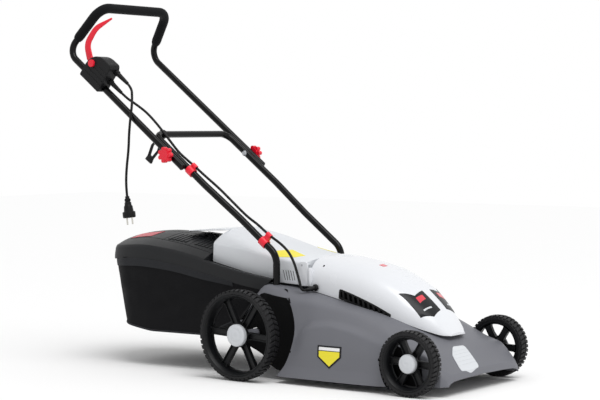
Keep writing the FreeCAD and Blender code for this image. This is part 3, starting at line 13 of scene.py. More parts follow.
import bmesh
import bpy
from mathutils import Matrix, Vector, noise


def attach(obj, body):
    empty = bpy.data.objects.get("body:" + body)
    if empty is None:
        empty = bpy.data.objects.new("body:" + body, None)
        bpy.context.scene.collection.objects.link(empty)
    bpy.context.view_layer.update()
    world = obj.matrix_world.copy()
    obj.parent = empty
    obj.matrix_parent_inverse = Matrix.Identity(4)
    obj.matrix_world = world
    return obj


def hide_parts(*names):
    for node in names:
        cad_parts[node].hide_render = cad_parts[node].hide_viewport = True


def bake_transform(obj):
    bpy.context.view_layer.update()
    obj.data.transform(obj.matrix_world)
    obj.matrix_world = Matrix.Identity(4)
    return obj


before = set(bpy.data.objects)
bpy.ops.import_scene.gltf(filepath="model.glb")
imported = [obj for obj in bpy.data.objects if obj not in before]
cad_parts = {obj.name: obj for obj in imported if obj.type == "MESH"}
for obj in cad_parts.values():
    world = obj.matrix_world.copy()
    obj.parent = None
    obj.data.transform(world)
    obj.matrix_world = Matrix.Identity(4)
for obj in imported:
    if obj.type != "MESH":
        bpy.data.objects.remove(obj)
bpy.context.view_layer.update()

MM = 0.001
SAME_SPOT = 1e-6    # m; closer points are one point
CAD_SPOT = 2e-5     # m; the same for the frame's own meshes
NO_AREA = 1e-12     # m2; smaller faces are left out
SIDES = {"right": -1, "left": 1}
log = logging.getLogger("mower")

Point = Sequence[float]
Piece = bpy.types.Object
Material = bpy.types.Material


# ---------------------------------------------------------------------------
# Finishes
# ---------------------------------------------------------------------------
def linear(code: str) -> tuple[float, float, float, float]:
    """Turn an sRGB hex colour into the linear values that shaders take.

    Args:
        code: Colour as "#rrggbb".

    Returns:
        Red, green, blue and an alpha of 1.
    """
    channels = [int(code[at:at + 2], 16) / 255 for at in (1, 3, 5)]
    return (*((c / 12.92 if c <= 0.04045 else ((c + 0.055) / 1.055) ** 2.4) for c in channels), 1.0)


def shade(code: str, factor: float) -> tuple[float, float, float, float]:
    """Linear colour of a hex code, made lighter or darker by a factor."""
    red, green, blue, alpha = linear(code)
    return red * factor, green * factor, blue * factor, alpha


def add_node(material: Material, kind: str, settings: dict[str, Any],
             links: dict[str, Any]) -> bpy.types.Node:
    """Add a shader node.

    Args:
        material: Material whose tree gets the node.
        kind: Node type, such as "ShaderNodeTexNoise".
        settings: Values by attribute name, or by input name where no attribute has it.
        links: Output sockets by the name of the input that each feeds.

    Returns:
        The new node.
    """
    tree = material.node_tree
    item = tree.nodes.new(kind)
    for name, setting in settings.items():
        if hasattr(item, name):
            setattr(item, name, setting)
        else:
            item.inputs[name].default_value = setting
    for name, source in links.items():
        tree.links.new(source, item.inputs[name])
    return item


@dataclass(frozen=True)
class Finish:
    """Shared base of every finish: a colour with slow variation, and a fine relief.

    Attributes:
        name: Common name of the material and how its surface was made.
        colour: sRGB hex colour.
        roughness: Middle roughness.
        grain: Size of the fine relief, mm.
        relief: Strength of the fine relief.
        mottle: How far the colour varies either way.
        metallic: 1 on bare metal.
        ior: Index of refraction; 1.5 suits plastics and paints.
        coat: Weight of a clear gloss layer.
        sheen: Weight of the soft edge light that fibres give.
        shine: Specular level; under 0.5 where the grain breaks up the studio's reflection.
    """
    name: str
    colour: str
    roughness: float
    grain: float = 0.8
    relief: float = 0.12
    mottle: float = 0.06
    metallic: float = 0.0
    ior: float = 1.5
    coat: float = 0.0
    sheen: float = 0.0
    shine: float = 0.5

    def height(self, material: Material, place: Any) -> Any:
        """Socket with the surface's fine relief: spark-eroded grain, as on a steel mould."""
        grain = add_node(material, "ShaderNodeTexNoise",
                         {"Scale": 1 / (self.grain * MM), "Detail": 3.0, "Roughness": 0.6}, {"Vector": place})
        return grain.outputs["Fac"]

    def build(self) -> Material:
        """Make the material.

        Returns:
            A node material on Object coordinates.
        """
        material = bpy.data.materials.new(self.name)
        material.use_nodes = True
        shader = material.node_tree.nodes["Principled BSDF"]
        place = add_node(material, "ShaderNodeTexCoord", {}, {}).outputs["Object"]
        slow = add_node(material, "ShaderNodeTexNoise", {"Scale": 14.0, "Detail": 4.0}, {"Vector": place})
        colours = add_node(material, "ShaderNodeMix", {"data_type": "RGBA"}, {"Factor": slow.outputs["Fac"]})
        colours.inputs[6].default_value = shade(self.colour, 1 - self.mottle)
        colours.inputs[7].default_value = shade(self.colour, 1 + self.mottle)
        wear = add_node(material, "ShaderNodeMapRange",
                        {"To Min": self.roughness - 0.05, "To Max": self.roughness + 0.05},
                        {"Value": slow.outputs["Fac"]})
        bump = add_node(material, "ShaderNodeBump", {"Strength": self.relief, "Distance": 0.0006},
                        {"Height": self.height(material, place)})
        material.node_tree.links.new(colours.outputs[2], shader.inputs["Base Color"])
        material.node_tree.links.new(wear.outputs["Result"], shader.inputs["Roughness"])
        material.node_tree.links.new(bump.outputs["Normal"], shader.inputs["Normal"])
        shader.inputs["Metallic"].default_value = self.metallic
        shader.inputs["IOR"].default_value = self.ior
        shader.inputs["Coat Weight"].default_value = self.coat
        shader.inputs["Sheen Weight"].default_value = self.sheen
        shader.inputs["Specular IOR Level"].default_value = self.shine
        return material


@dataclass(frozen=True)
class WovenFinish(Finish):
    """Woven polyester: two sets of threads that cross, drawn coarser than they are so that they show.

    Attributes:
        thread: Width of a thread, mm.
    """
    thread: float = 2.2

    def height(self, material: Material, place: Any) -> Any:
        """Socket with crossed threads.

        Args:
            material: Material that gets the nodes.
            place: Socket with Object coordinates.

        Returns:
            The height socket.
        """
        sets = [
            add_node(material, "ShaderNodeTexWave",
                     {"bands_direction": way, "Scale": 0.5 / (self.thread * MM), "Distortion": 0.6},
                     {"Vector": place}).outputs["Fac"]
            for way in ("DIAGONAL", "Z")
        ]
        cross = add_node(material, "ShaderNodeMath", {"operation": "MULTIPLY"}, {})
        for index, threads in enumerate(sets):
            material.node_tree.links.new(threads, cross.inputs[index])
        return cross.outputs["Value"]


@dataclass(frozen=True)
class FoamFinish(Finish):
    """Closed-cell foam rubber: small round pores all over."""

    def height(self, material: Material, place: Any) -> Any:
        """Socket with the pores."""
        cells = add_node(material, "ShaderNodeTexVoronoi", {"Scale": 1 / (self.grain * MM)},
                         {"Vector": place})
        return cells.outputs["Distance"]


class Look(Enum):
    """Every finish on the mower."""
    # grained polypropylene with a satin skin
    DECK = Finish("moulded_grey_polypropylene", "#6b6c72", 0.5, 0.9, 0.16, 0.04, shine=0.35)
    # painted shade: black for the shaded insides of the arches and the walls of small holes and slits
    LINER = Finish("painted_shade_black", "#0b0b0c", 0.7, 1.2, 0.2, 0.1, shine=0.1)
    # polished ABS: bright and smooth with a soft highlight
    HOOD = Finish("polished_white_abs", "#dfe1e5", 0.26, 2.5, 0.02, 0.01, coat=0.15)
    FLAP = Finish("moulded_pale_grey_abs", "#dadde1", 0.4, 1.0, 0.07, 0.02)
    BLACK = Finish("moulded_black_abs", "#101012", 0.45, 0.9, 0.18, 0.1, shine=0.2)
    RED = Finish("moulded_red_nylon", "#e8102f", 0.36, 1.2, 0.07, 0.05)
    WHEEL = Finish("moulded_charcoal_polypropylene", "#101113", 0.42, 1.0, 0.14, 0.08, shine=0.24)
    TREAD = Finish("moulded_soft_tread", "#141416", 0.55, 1.4, 0.3, 0.12, shine=0.26)
    CAP = Finish("moulded_light_grey_abs", "#cfd2d6", 0.44, 1.0, 0.1, 0.03)
    # stoving enamel on steel tube: deep gloss
    TUBE = Finish("black_stoving_enamel", "#040405", 0.2, 3.0, 0.015, 0.03, coat=0.12, shine=0.12)
    FOAM = FoamFinish("closed_cell_foam", "#101113", 0.86, 1.6, 0.35, 0.1, sheen=0.06, shine=0.1)
    FABRIC = WovenFinish("woven_polyester", "#111113", 0.84, 2.0, 0.3, 0.14, sheen=0.05, shine=0.1)
    BINDING = WovenFinish("polyester_binding_tape", "#26272a", 0.8, 1.5, 0.4, 0.1, sheen=0.08, shine=0.15)
    BOX = Finish("moulded_dark_grey_polypropylene", "#2c2d30", 0.48, 1.0, 0.16, 0.06, shine=0.22)
    BOX_DARK = Finish("moulded_slate_polypropylene", "#1a1b1d", 0.46, 1.0, 0.18, 0.08, shine=0.22)
    RUBBER = Finish("moulded_lead_rubber", "#0b0b0c", 0.5, 1.0, 0.15, 0.1, shine=0.2)
    STEEL = Finish("zinc_plated_steel", "#a9abaf", 0.34, 0.6, 0.1, 0.08, metallic=1.0)
    PIN = Finish("nickel_plated_brass", "#c9c7c0", 0.24, 0.6, 0.04, 0.04, metallic=1.0)
    BLADE = Finish("rolled_blade_steel", "#6d6e72", 0.42, 1.5, 0.2, 0.12, metallic=1.0)
    MOTOR = Finish("painted_motor_can", "#1c1c1e", 0.5, 0.8, 0.1, 0.1, shine=0.3)
    BADGE = Finish("gloss_printed_film_dark", "#17181b", 0.3, 3.0, 0.01, 0.05, shine=0.2)
    BADGE_RED = Finish("gloss_printed_film_red", "#d8203a", 0.25, 3.0, 0.01, 0.04, coat=0.5)
    BADGE_SILVER = Finish("gloss_printed_film_silver", "#c9ccd0", 0.3, 3.0, 0.01, 0.03, coat=0.5)
    YELLOW = Finish("printed_yellow_film", "#f1e21b", 0.35, 3.0, 0.01, 0.03, coat=0.2)
    WHITE_FILM = Finish("printed_white_film", "#eeeeee", 0.35, 3.0, 0.01, 0.02, coat=0.2)
    LABEL = Finish("printed_red_film", "#c93a48", 0.4, 2.0, 0.02, 0.08)


_built: dict[Look, Material] = {}


def material_of(look: Look) -> Material:
    """Material of a finish, made the first time that it is asked for."""
    if look not in _built:
        _built[look] = look.value.build()
    return _built[look]


# ---------------------------------------------------------------------------
# Modelling tools
# ---------------------------------------------------------------------------
def activate(piece: Piece) -> None:
    """Make a piece the only selected and the active object."""
    bpy.ops.object.select_all(action="DESELECT")
    piece.select_set(True)
    bpy.context.view_layer.objects.active = piece


def apply_all(piece: Piece) -> Piece:
    """Apply a piece's modifiers in order.

    Args:
        piece: Piece with modifiers.

    Returns:
        The changed piece.
    """
    activate(piece)
    for modifier in list(piece.modifiers):
        bpy.ops.object.modifier_apply(modifier=modifier.name)
    return piece


def link(name: str, mesh: Any) -> Piece:
    """New object with this data, in the scene."""
    piece = bpy.data.objects.new(name, mesh)
    bpy.context.scene.collection.objects.link(piece)
    return piece


def face_outward(piece: Piece) -> Piece:
    """Merge doubled points and turn every face outward.

    Args:
        piece: Piece that changes.

    Returns:
        The changed piece.
    """
    shape = bmesh.new()
    shape.from_mesh(piece.data)
    bmesh.ops.remove_doubles(shape, verts=shape.verts, dist=SAME_SPOT)
    bmesh.ops.recalc_face_normals(shape, faces=shape.faces)
    shape.to_mesh(piece.data)
    shape.free()
    return piece


def mesh_piece(name: str, points: Iterable[Point], faces: Iterable[Sequence[int]]) -> Piece:
    """New object from points in millimetres.

    Args:
        name: Object's name.
        points: Corners, mm.
        faces: Corner indices of each face.

    Returns:
        The object, its faces turned the same way.
    """
    mesh = bpy.data.meshes.new(name)
    mesh.from_pydata([Vector(spot) * MM for spot in points], [], [tuple(face) for face in faces])
    return face_outward(link(name, mesh))


def loft(name: str, rings: Sequence[Sequence[Point]], closed: bool = True, caps: bool = True) -> Piece:
    """Skin through rings of equal length.

    Args:
        name: Object's name.
        rings: Points of each ring, mm.
        closed: Whether a ring's last point joins its first.
        caps: Whether the first and last rings are filled.

    Returns:
        The skin.
    """
    count = len(rings[0])
    points = [spot for ring in rings for spot in ring]
    steps = count if closed else count - 1
    faces = [
        (row * count + at, row * count + (at + 1) % count,
         (row + 1) * count + (at + 1) % count, (row + 1) * count + at)
        for row in range(len(rings) - 1) for at in range(steps)
    ]
    if caps:
        faces.append(tuple(range(count)))
        faces.append(tuple((len(rings) - 1) * count + at for at in range(count)))
    return mesh_piece(name, points, faces)


def prism(name: str, outline: Sequence[Point], axis: str, start: float, end: float) -> Piece:
    """Straight solid of a flat outline.

    Args:
        name: Object's name.
        outline: Points in the plane across the axis, in the order X, Y, Z of the other two axes.
        axis: "X", "Y" or "Z".
        start: Where it starts along the axis, mm.
        end: Where it ends, mm.

    Returns:
        The solid.
    """
    at = "XYZ".index(axis)
    rings = []
    for level in (start, end):
        ring = []
        for first, second in outline:
            spot = [first, second]
            spot.insert(at, level)
            ring.append(spot)
        rings.append(ring)
    return loft(name, rings)


def turned(name: str, profile: Sequence[tuple[float, float]], centre: Point, side: int,
           steps: int = 96) -> Piece:
    """Solid of revolution about a line along Y, made with the spin operator.

    Args:
        name: Object's name.
        profile: Closed outline as (radius, distance outward along Y), mm.
        centre: Point on the axis from which distances count, mm.
        side: -1 where outward is -Y, 1 where it is +Y.
        steps: Number of steps in the full turn.

    Returns:
        The solid.
    """
    points = [(centre[0], centre[1] + side * out, centre[2] + radius) for radius, out in profile]
    mesh = bpy.data.meshes.new(name)
    edges = [(at, (at + 1) % len(points)) for at in range(len(points))]
    mesh.from_pydata([Vector(spot) * MM for spot in points], edges, [])
    piece = link(name, mesh)
    activate(piece)
    bpy.ops.object.mode_set(mode="EDIT")
    bpy.ops.mesh.select_all(action="SELECT")
    bpy.ops.mesh.spin(steps=steps, angle=2 * math.pi, center=Vector(centre) * MM, axis=(0, 1, 0))
    bpy.ops.mesh.select_all(action="SELECT")
    bpy.ops.mesh.remove_doubles(threshold=SAME_SPOT)
    bpy.ops.object.mode_set(mode="OBJECT")
    clean = bmesh.new()
    clean.from_mesh(piece.data)
    loose = [edge for edge in clean.edges if not edge.link_faces]
    bmesh.ops.delete(clean, geom=loose, context="EDGES")
    flat = [face for face in clean.faces if face.calc_area() < NO_AREA]
    bmesh.ops.delete(clean, geom=flat, context="FACES")
    clean.to_mesh(piece.data)
    clean.free()
    return face_outward(piece)


def boolean(piece: Piece, cutters: Iterable[Piece], operation: str = "DIFFERENCE") -> Piece:
    """Combine a piece with others and remove them.

    Args:
        piece: Piece that changes.
        cutters: Other solids.
        operation: "DIFFERENCE", "UNION" or "INTERSECT".

    Returns:
        The changed piece.
    """
    for cutter in cutters:
        modifier = piece.modifiers.new("shape", "BOOLEAN")
        modifier.operation = operation
        modifier.object = cutter
        modifier.solver = "EXACT"
        modifier.material_mode = "TRANSFER"
        apply_all(piece)
        bpy.data.objects.remove(cutter)
    return piece


def bevel(piece: Piece, width: float, segments: int = 2, angle: float = 35.0) -> Piece:
    """Round a piece's sharp edges.

    Args:
        piece: Piece that changes.
        width: Width of the rounding, mm.
        segments: Steps across it.
        angle: Smallest turn that counts as sharp, degrees.

    Returns:
        The changed piece.
    """
    modifier = piece.modifiers.new("edges", "BEVEL")
    modifier.width = width * MM
    modifier.segments = segments
    modifier.limit_method = "ANGLE"
    modifier.angle_limit = math.radians(angle)
    modifier.use_clamp_overlap = True
    return apply_all(piece)


def thicken(piece: Piece, wall: float, outward: bool = False) -> Piece:
    """Give a skin its wall, inward or outward, in millimetres.

    Args:
        piece: Open surface.
        wall: Thickness, mm.
        outward: Whether the wall grows out from the surface.

    Returns:
        The changed piece.
    """
    modifier = piece.modifiers.new("wall", "SOLIDIFY")
    modifier.thickness = wall * MM
    modifier.offset = 1.0 if outward else -1.0
    modifier.use_even_offset = True
    return apply_all(piece)


def join(name: str, pieces: Sequence[Piece]) -> Piece:
    """Make several meshes one object.

    Args:
        name: Name of the whole.
        pieces: Meshes, the first of which stays.

    Returns:
        The whole.
    """
    activate(pieces[0])
    for other in pieces[1:]:
        other.select_set(True)
    bpy.ops.object.join()
    pieces[0].name = name
    return pieces[0]


def twin(piece: Piece, name: str) -> Piece:
    """Copy of a piece with its own mesh."""
    return link(name, piece.data.copy())


def moved(piece: Piece, change: Matrix) -> Piece:
    """Apply a matrix, in metres, to a piece's mesh."""
    piece.data.transform(change)
    return piece


def smooth(piece: Piece, angle: float = 32.0) -> Piece:
    """Shade a piece smooth, but for edges sharper than an angle in degrees."""
    activate(piece)
    bpy.ops.object.shade_smooth_by_angle(angle=math.radians(angle))
    return piece


def finish(piece: Piece, look: Look, body: str, nodes: Sequence[str] = (),
           angle: float = 32.0) -> Piece:
    """Shade a piece, dress it and tie it to its body.

    Args:
        piece: Finished mesh.
        look: Its finish; slots that a cutter left keep theirs.
        body: CAD body that it rides on.
        nodes: CAD nodes that it stands for.
        angle: Turn above which an edge stays sharp, degrees.

    Returns:
        The piece.
    """
    if piece.data.materials:
        piece.data.materials[0] = material_of(look)
    else:
        piece.data.materials.append(material_of(look))
    smooth(piece, angle)
    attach(piece, body)
    if nodes:
        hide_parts(*nodes)
    log.info("%s: %d faces on %s", piece.name, len(piece.data.polygons), body)
    return piece


def refined(node: str, name: str, width: float, angle: float = 35.0) -> Piece:
    """Merged copy of a CAD node's mesh with its edges rounded.

    Args:
        node: CAD node.
        name: New object's name.
        width: Rounding, mm; 0 for none.
        angle: Smallest turn that is rounded, degrees.

    Returns:
        The copy.
    """
    piece = face_outward(twin(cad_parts[node], name))
    piece.data.materials.clear()
    shape = bmesh.new()
    shape.from_mesh(piece.data)
    bmesh.ops.remove_doubles(shape, verts=shape.verts, dist=CAD_SPOT)
    bmesh.ops.dissolve_limit(shape, angle_limit=math.radians(1), verts=shape.verts, edges=shape.edges)
    bmesh.ops.recalc_face_normals(shape, faces=shape.faces)
    shape.to_mesh(piece.data)
    shape.free()
    return bevel(piece, width, angle=angle) if width else piece


def rounded(outline: Sequence[Point], radii: Sequence[float], steps: int = 5,
            closed: bool = False) -> list[Point]:
    """Round the corners of a flat outline.

    Args:
        outline: Corners.
        radii: How far from each corner its curve starts, as far as its neighbours leave room.
        steps: Points on each curve, less one.
        closed: Whether the last corner joins the first.

    Returns:
        The outline with a curve of steps + 1 points at each corner, and its open ends as they were.
    """
    corners = [Vector(spot) for spot in outline]
    count = len(corners)
    path = []
    for index, (corner, radius) in enumerate(zip(corners, radii)):
        if not closed and index in (0, count - 1):
            path.append(tuple(corner))
            continue
        before, after = corners[index - 1], corners[(index + 1) % count]
        reach = min(radius, 0.48 * (corner - before).length, 0.48 * (after - corner).length)
        first = corner + (before - corner).normalized() * reach
        last = corner + (after - corner).normalized() * reach
        for step in range(steps + 1):
            share = step / steps
            spot = first * (1 - share) ** 2 + corner * 2 * share * (1 - share) + last * share ** 2
            path.append(tuple(spot))
    return path


def rounded_flat(outline: Sequence[Point], radii: Sequence[float], steps: int = 5,
                 closed: bool = False) -> list[Point]:
    """Round the corners of an outline that is given, and given back, as pairs.

    Args:
        outline: Corners as pairs.
        radii: How far from each corner its curve starts.
        steps: Points on each curve, less one.
        closed: Whether the last corner joins the first.

    Returns:
        Pairs along the rounded outline.
    """
    lifted = [(across, up, 0) for across, up in outline]
    return [(across, up) for across, up, _ in rounded(lifted, radii, steps, closed)]


def mirrored(half: Sequence[Point]) -> list[Point]:
    """Section across the mower from its left half, given outward from the middle as (y, z)."""
    left = [(y, z) for y, z in half if y > 0]
    middle = [(y, z) for y, z in half if y <= 0]
    return [(-y, z) for y, z in reversed(left)] + middle + left


class Stations:
    """Table of values along X, joined by smooth curves that never overshoot."""

    def __init__(self, rows: Sequence[Sequence[float]]) -> None:
        """Keep the rows, each an X and its values, in the order of X."""
        self.places = [row[0] for row in rows]
        self.columns = list(zip(*[row[1:] for row in rows]))
        self.slopes = [self._slopes(column) for column in self.columns]

    def _slopes(self, column: Sequence[float]) -> list[float]:
        """Slope at each place: the harmonic mean of its neighbours' slopes, or none at a turning point."""
        rises = [(b - a) / (q - p) for a, b, p, q in zip(column, column[1:], self.places, self.places[1:])]
        inner = [2 * a * b / (a + b) if a * b > 0 else 0.0 for a, b in zip(rises, rises[1:])]
        return [rises[0]] + inner + [rises[-1]]

    def at(self, place: float) -> list[float]:
        """Values at a place.

        Args:
            place: Place along X, mm.

        Returns:
            One value for each column.
        """
        place = min(max(place, self.places[0]), self.places[-1])
        row = max(index for index in range(len(self.places) - 1) if self.places[index] <= place)
        span = self.places[row + 1] - self.places[row]
        share = (place - self.places[row]) / span
        found = []
        for column, slopes in zip(self.columns, self.slopes):
            start, end = column[row], column[row + 1]
            found.append(start * (1 + 2 * share) * (1 - share) ** 2 + end * share ** 2 * (3 - 2 * share)
                         + span * share * (1 - share) * (slopes[row] * (1 - share) - slopes[row + 1] * share))
        return found

    def spread(self, step: float) -> list[float]:
        """Places about a step apart, with every row's own place among them.

        Args:
            step: Distance, mm.

        Returns:
            Places in order.
        """
        found = []
        for start, end in zip(self.places, self.places[1:]):
            pieces = max(1, round((end - start) / step))
            found += [start + (end - start) * index / pieces for index in range(pieces)]
        return found + [self.places[-1]]


def fillet_path(points: Sequence[Point], radii: Sequence[float], step: float = 6.0) -> list[Vector]:
    """Runs joined by tangent arcs, as a close row of points.

    Args:
        points: Corners of the path, mm.
        radii: Radius at each inner corner, mm.
        step: Degrees from one point on an arc to the next.

    Returns:
        Points of the path.
    """
    corners = [Vector(spot) for spot in points]
    path = [corners[0]]
    for before, corner, after, radius in zip(corners, corners[1:], corners[2:], radii):
        incoming, outgoing = (corner - before).normalized(), (after - corner).normalized()
        turn = incoming.angle(outgoing)
        reach = radius * math.tan(turn / 2)
        inward = (outgoing - incoming).normalized()
        centre = corner + inward * (radius / math.cos(turn / 2))
        axis = incoming.cross(outgoing).normalized()
        spoke = corner - incoming * reach - centre
        count = max(2, round(math.degrees(turn) / step))
        for index in range(count + 1):
            path.append(centre + Matrix.Rotation(turn * index / count, 3, axis) @ spoke)
    return path + [corners[-1]]


def tube(name: str, path: Sequence[Vector], radius: float, taper: Optional[Sequence[float]] = None) -> Piece:
    """Round bar along a path.

    Args:
        name: Object's name.
        path: Points, mm.
        radius: Radius, mm.
        taper: Share of the radius at each point, or None for a plain bar.

    Returns:
        A mesh with closed ends.
    """
    curve = bpy.data.curves.new(name, "CURVE")
    curve.dimensions = "3D"
    curve.bevel_depth = radius * MM
    curve.bevel_resolution = 7
    curve.use_fill_caps = True
    line = curve.splines.new("POLY")
    line.points.add(len(path) - 1)
    for index, (spot, point) in enumerate(zip(path, line.points)):
        point.co = (*(spot * MM), 1.0)
        point.radius = taper[index] if taper else 1.0
    return curve_mesh(name, curve)


def curve_mesh(name: str, curve: bpy.types.Curve) -> Piece:
    """Turn a curve into a mesh object and remove the curve.

    Args:
        name: Name of the mesh object.
        curve: Curve with a section.

    Returns:
        The mesh object.
    """
    holder = link(f"{name}_line", curve)
    bpy.context.view_layer.update()
    mesh = bpy.data.meshes.new_from_object(holder.evaluated_get(bpy.context.evaluated_depsgraph_get()))
    bpy.data.objects.remove(holder)
    return face_outward(link(name, mesh))


# ---------------------------------------------------------------------------
# Deck
# ---------------------------------------------------------------------------
@dataclass
class Deck:
    """Moulded grey deck: outer skin with wheel arches, chute floor, motor well, sockets and bosses.

    Attributes:
        wall: Thickness of the skin.
        step: Distance between cross-sections.
        axles: X and Z of the rear axle and of the front one.
        arch_radii: Radius of the rear arches and of the front ones.
        arch_inner: Distance of their inner walls from the middle plane.
        arch_end: Distance from the middle plane that lies outside every wheel.
        boss_faces: Distance of the axle bosses' outer faces from the middle plane.
        leg: X and Y of the socket for a leg of the handle.
        chute_half: Half width of the chute's floor.
        well_wall: Thickness of the motor well's wall and floor.
    """
    wall: float = 3.5
    step: float = 11.0
    axles: tuple[tuple[float, float], ...] = ((37.0, 120.0), (545.0, 82.5))
    arch_radii: tuple[float, float] = (145.0, 94.5)
    arch_inner: tuple[float, float] = (179.3, 192.0)
    arch_end: float = 300
    boss_faces: tuple[float, float] = (230.0, 199.5)
    leg: tuple[float, float] = (84.0, 150.0)
    chute_half: float = 178
    well_wall: float = 3.5

    def stations(self) -> Stations:
        """Half sections: seam, roof edge, shoulder, three points of the flank, lower crease, skirt.

        Returns:
            The table, by X.
        """
        rows = [
            (-20, (110, 150), (160, 148), (186, 130), (189, 122), (192, 115),
             (195, 108), (198, 101), (200, 95)),
            (66, (118, 245), (167, 251), (184, 218), (192, 176), (197, 150),
             (203, 120), (209, 80), (212, 60)),
            (74, (118, 244), (167, 250), (184, 217), (196, 172), (204, 140),
             (213, 105), (223, 60), (226, 50)),
            (105, (118, 243), (166, 242), (184, 214), (196, 170), (205, 135),
             (215, 95), (221, 46), (228.5, 28)),
            (165, (118, 235), (152, 232), (184, 214), (198, 163), (206, 128),
             (217, 88), (221.5, 46), (229, 18)),
            (190, (118, 230), (148, 229), (183, 214), (202, 130), (209, 115),
             (219, 80), (222, 46), (229.5, 18)),
            (212, (118, 226), (147, 226), (182, 213), (197, 150), (212, 136),
             (221, 92), (222.5, 46), (230, 18)),
            (240, (118, 220), (145, 219), (179, 209), (195, 164), (212, 150),
             (222, 98), (223, 46), (230, 18)),
            (290, (118, 209), (143, 208), (174, 200), (192, 169), (211, 156),
             (222, 102), (223, 47), (230, 18)),
            (345, (118, 198), (141, 197), (170, 190), (191, 162), (210, 149),
             (221, 98), (222.5, 48), (229.5, 18)),
            (402, (115, 184), (137, 181), (170, 172), (192, 148), (208, 134),
             (219, 92), (220.5, 49), (227.5, 18)),
            (440, (110, 172), (136, 168), (176, 155), (193, 137), (207, 122),
             (216, 86), (217.5, 49), (224, 18)),
            (475, (95, 156), (138, 152), (182, 138), (194, 124), (205, 110),
             (212, 80), (214, 48), (219.5, 19)),
            (530, (58, 129), (122, 124), (186, 112), (195, 100), (202, 88),
             (206, 70), (210, 45), (210, 22)),
            (572, (40, 106), (112, 104), (186, 99), (189, 88), (190, 74),
             (190, 58), (190, 42), (190, 24)),
            (582, (40, 99), (112, 97), (185, 92), (188, 81), (189.5, 68),
             (190, 53), (190, 40), (190, 24)),
            (614, (40, 70), (110, 68), (174, 63), (184, 56), (187, 48),
             (188.5, 40), (189, 33), (189.5, 25)),
            (627, (40, 57), (106, 56), (158, 52), (172, 46), (177, 40),
             (179, 35), (180, 30), (181, 26)),
            (631, (40, 40), (106, 39), (150, 37), (162, 34), (168, 32),
             (172, 30), (173, 28), (174, 26)),
        ]
        return Stations([(row[0], *(number for spot in row[1:] for number in spot)) for row in rows])

    def skin(self, name: str) -> Piece:
        """Outer surface from skirt to skirt, open below.

        Args:
            name: Object's name.

        Returns:
            The surface, without a wall.
        """
        stations = self.stations()
        rings = []
        for place in stations.spread(self.step):
            numbers = stations.at(place)
            half = [(0.0, numbers[1] + 1.0)] + list(zip(numbers[::2], numbers[1::2]))
            corners = rounded_flat(half, [0, 14, 12, 13, 7, 6, 14, 6, 0], steps=3)
            rings.append([(place, y, z) for y, z in mirrored(corners)])
        return loft(name, rings, closed=False, caps=False)

    def arches(self) -> list[Piece]:
        """Cutters for the four wheel arches, whose cut walls get black painted shade.

        Returns:
            Four solids.
        """
        cutters = []
        for (x, z), radius, inner in zip(self.axles, self.arch_radii, self.arch_inner):
            profile = [(0, inner), (radius - 5, inner), (radius, inner + 5),
                       (radius, self.arch_end), (0, self.arch_end)]
            for side in SIDES.values():
                cutter = turned("arch", profile, (x, 0, z), side)
                # black painted shade on the arch walls that this cutter leaves
                cutter.data.materials.append(material_of(Look.LINER))
                cutters.append(cutter)
        return cutters

    def inner_pieces(self) -> list[Piece]:
        """Chute floor, motor well, leg sockets and axle bosses.

        Returns:
            Meshes to be joined to the deck.
        """
        chute = [(106, 48), (110, 48), (61, 139), (-17, 149), (-17, 145.5), (58, 135)]
        pieces = [prism("chute", chute, "Y", -self.chute_half, self.chute_half)]
        bpy.ops.mesh.primitive_cylinder_add(vertices=72, radius=68.5 * MM, depth=80 * MM,
                                            location=(0.320, 0, 0.160))
        well = bpy.context.active_object
        self._hollow(well, 0.119, self.well_wall)
        pieces.append(well)
        for side in SIDES.values():
            bpy.ops.mesh.primitive_cylinder_add(vertices=48, radius=12.4 * MM, depth=50 * MM,
                                                location=(self.leg[0] * MM, side * self.leg[1] * MM, 0.222))
            socket = bpy.context.active_object
            pieces.append(socket)
            for (x, z), inner, face in zip(self.axles, self.arch_inner, self.boss_faces):
                boss = [(5, inner - 30), (12, inner - 30), (10, face), (5, face)]
                pieces.append(turned("boss", boss, (x, 0, z), side, 40))
        for piece in pieces:
            piece.data.materials.append(material_of(Look.DECK))
            activate(piece)
            bpy.ops.object.transform_apply()
        return pieces

    def _hollow(self, piece: Piece, floor: float, wall: float) -> None:
        """Open a cylinder's upper end and leave a wall and a floor, by inset and extrude in edit mode.

        Args:
            piece: Upright cylinder.
            floor: Height of the floor, m.
            wall: Thickness of wall and floor, mm.
        """
        activate(piece)
        bpy.ops.object.transform_apply()
        bpy.ops.object.mode_set(mode="EDIT")
        bpy.ops.mesh.select_all(action="DESELECT")
        bpy.ops.object.mode_set(mode="OBJECT")
        for face in piece.data.polygons:
            face.select = face.normal.z > 0.9
        bpy.ops.object.mode_set(mode="EDIT")
        bpy.ops.mesh.inset(thickness=wall * MM)
        bpy.ops.mesh.extrude_region_move(TRANSFORM_OT_translate={"value": (0, 0, floor + wall * MM - 0.200)})
        bpy.ops.object.mode_set(mode="OBJECT")

    def badge(self) -> None:
        """Five-cornered printed patch on the right flank, with a plain band and no print."""
        shell = self.skin("flank_film")
        thicken(shell, 0.7, outward=True)
        layers = (
            ("flank_patch_border", Look.BADGE,
             [(268, 108), (341, 108), (341, 80), (305, 50), (268, 78)], 0.0),
            ("flank_patch_field", Look.YELLOW, [(273, 94), (336, 94), (336, 82), (305, 56), (273, 80)], 0.5),
            ("flank_patch_band", Look.WHITE_FILM, [(273, 104), (336, 104), (336, 96), (273, 96)], 0.5),
        )
        for name, look, outline, lift in layers:
            patch = twin(shell, name)
            moved(patch, Matrix.Translation((0, -lift * MM, 0)))
            boolean(patch, [prism("outline", outline, "Y", -260, -195)], "INTERSECT")
            finish(patch, look, "chassis")
        bpy.data.objects.remove(shell)

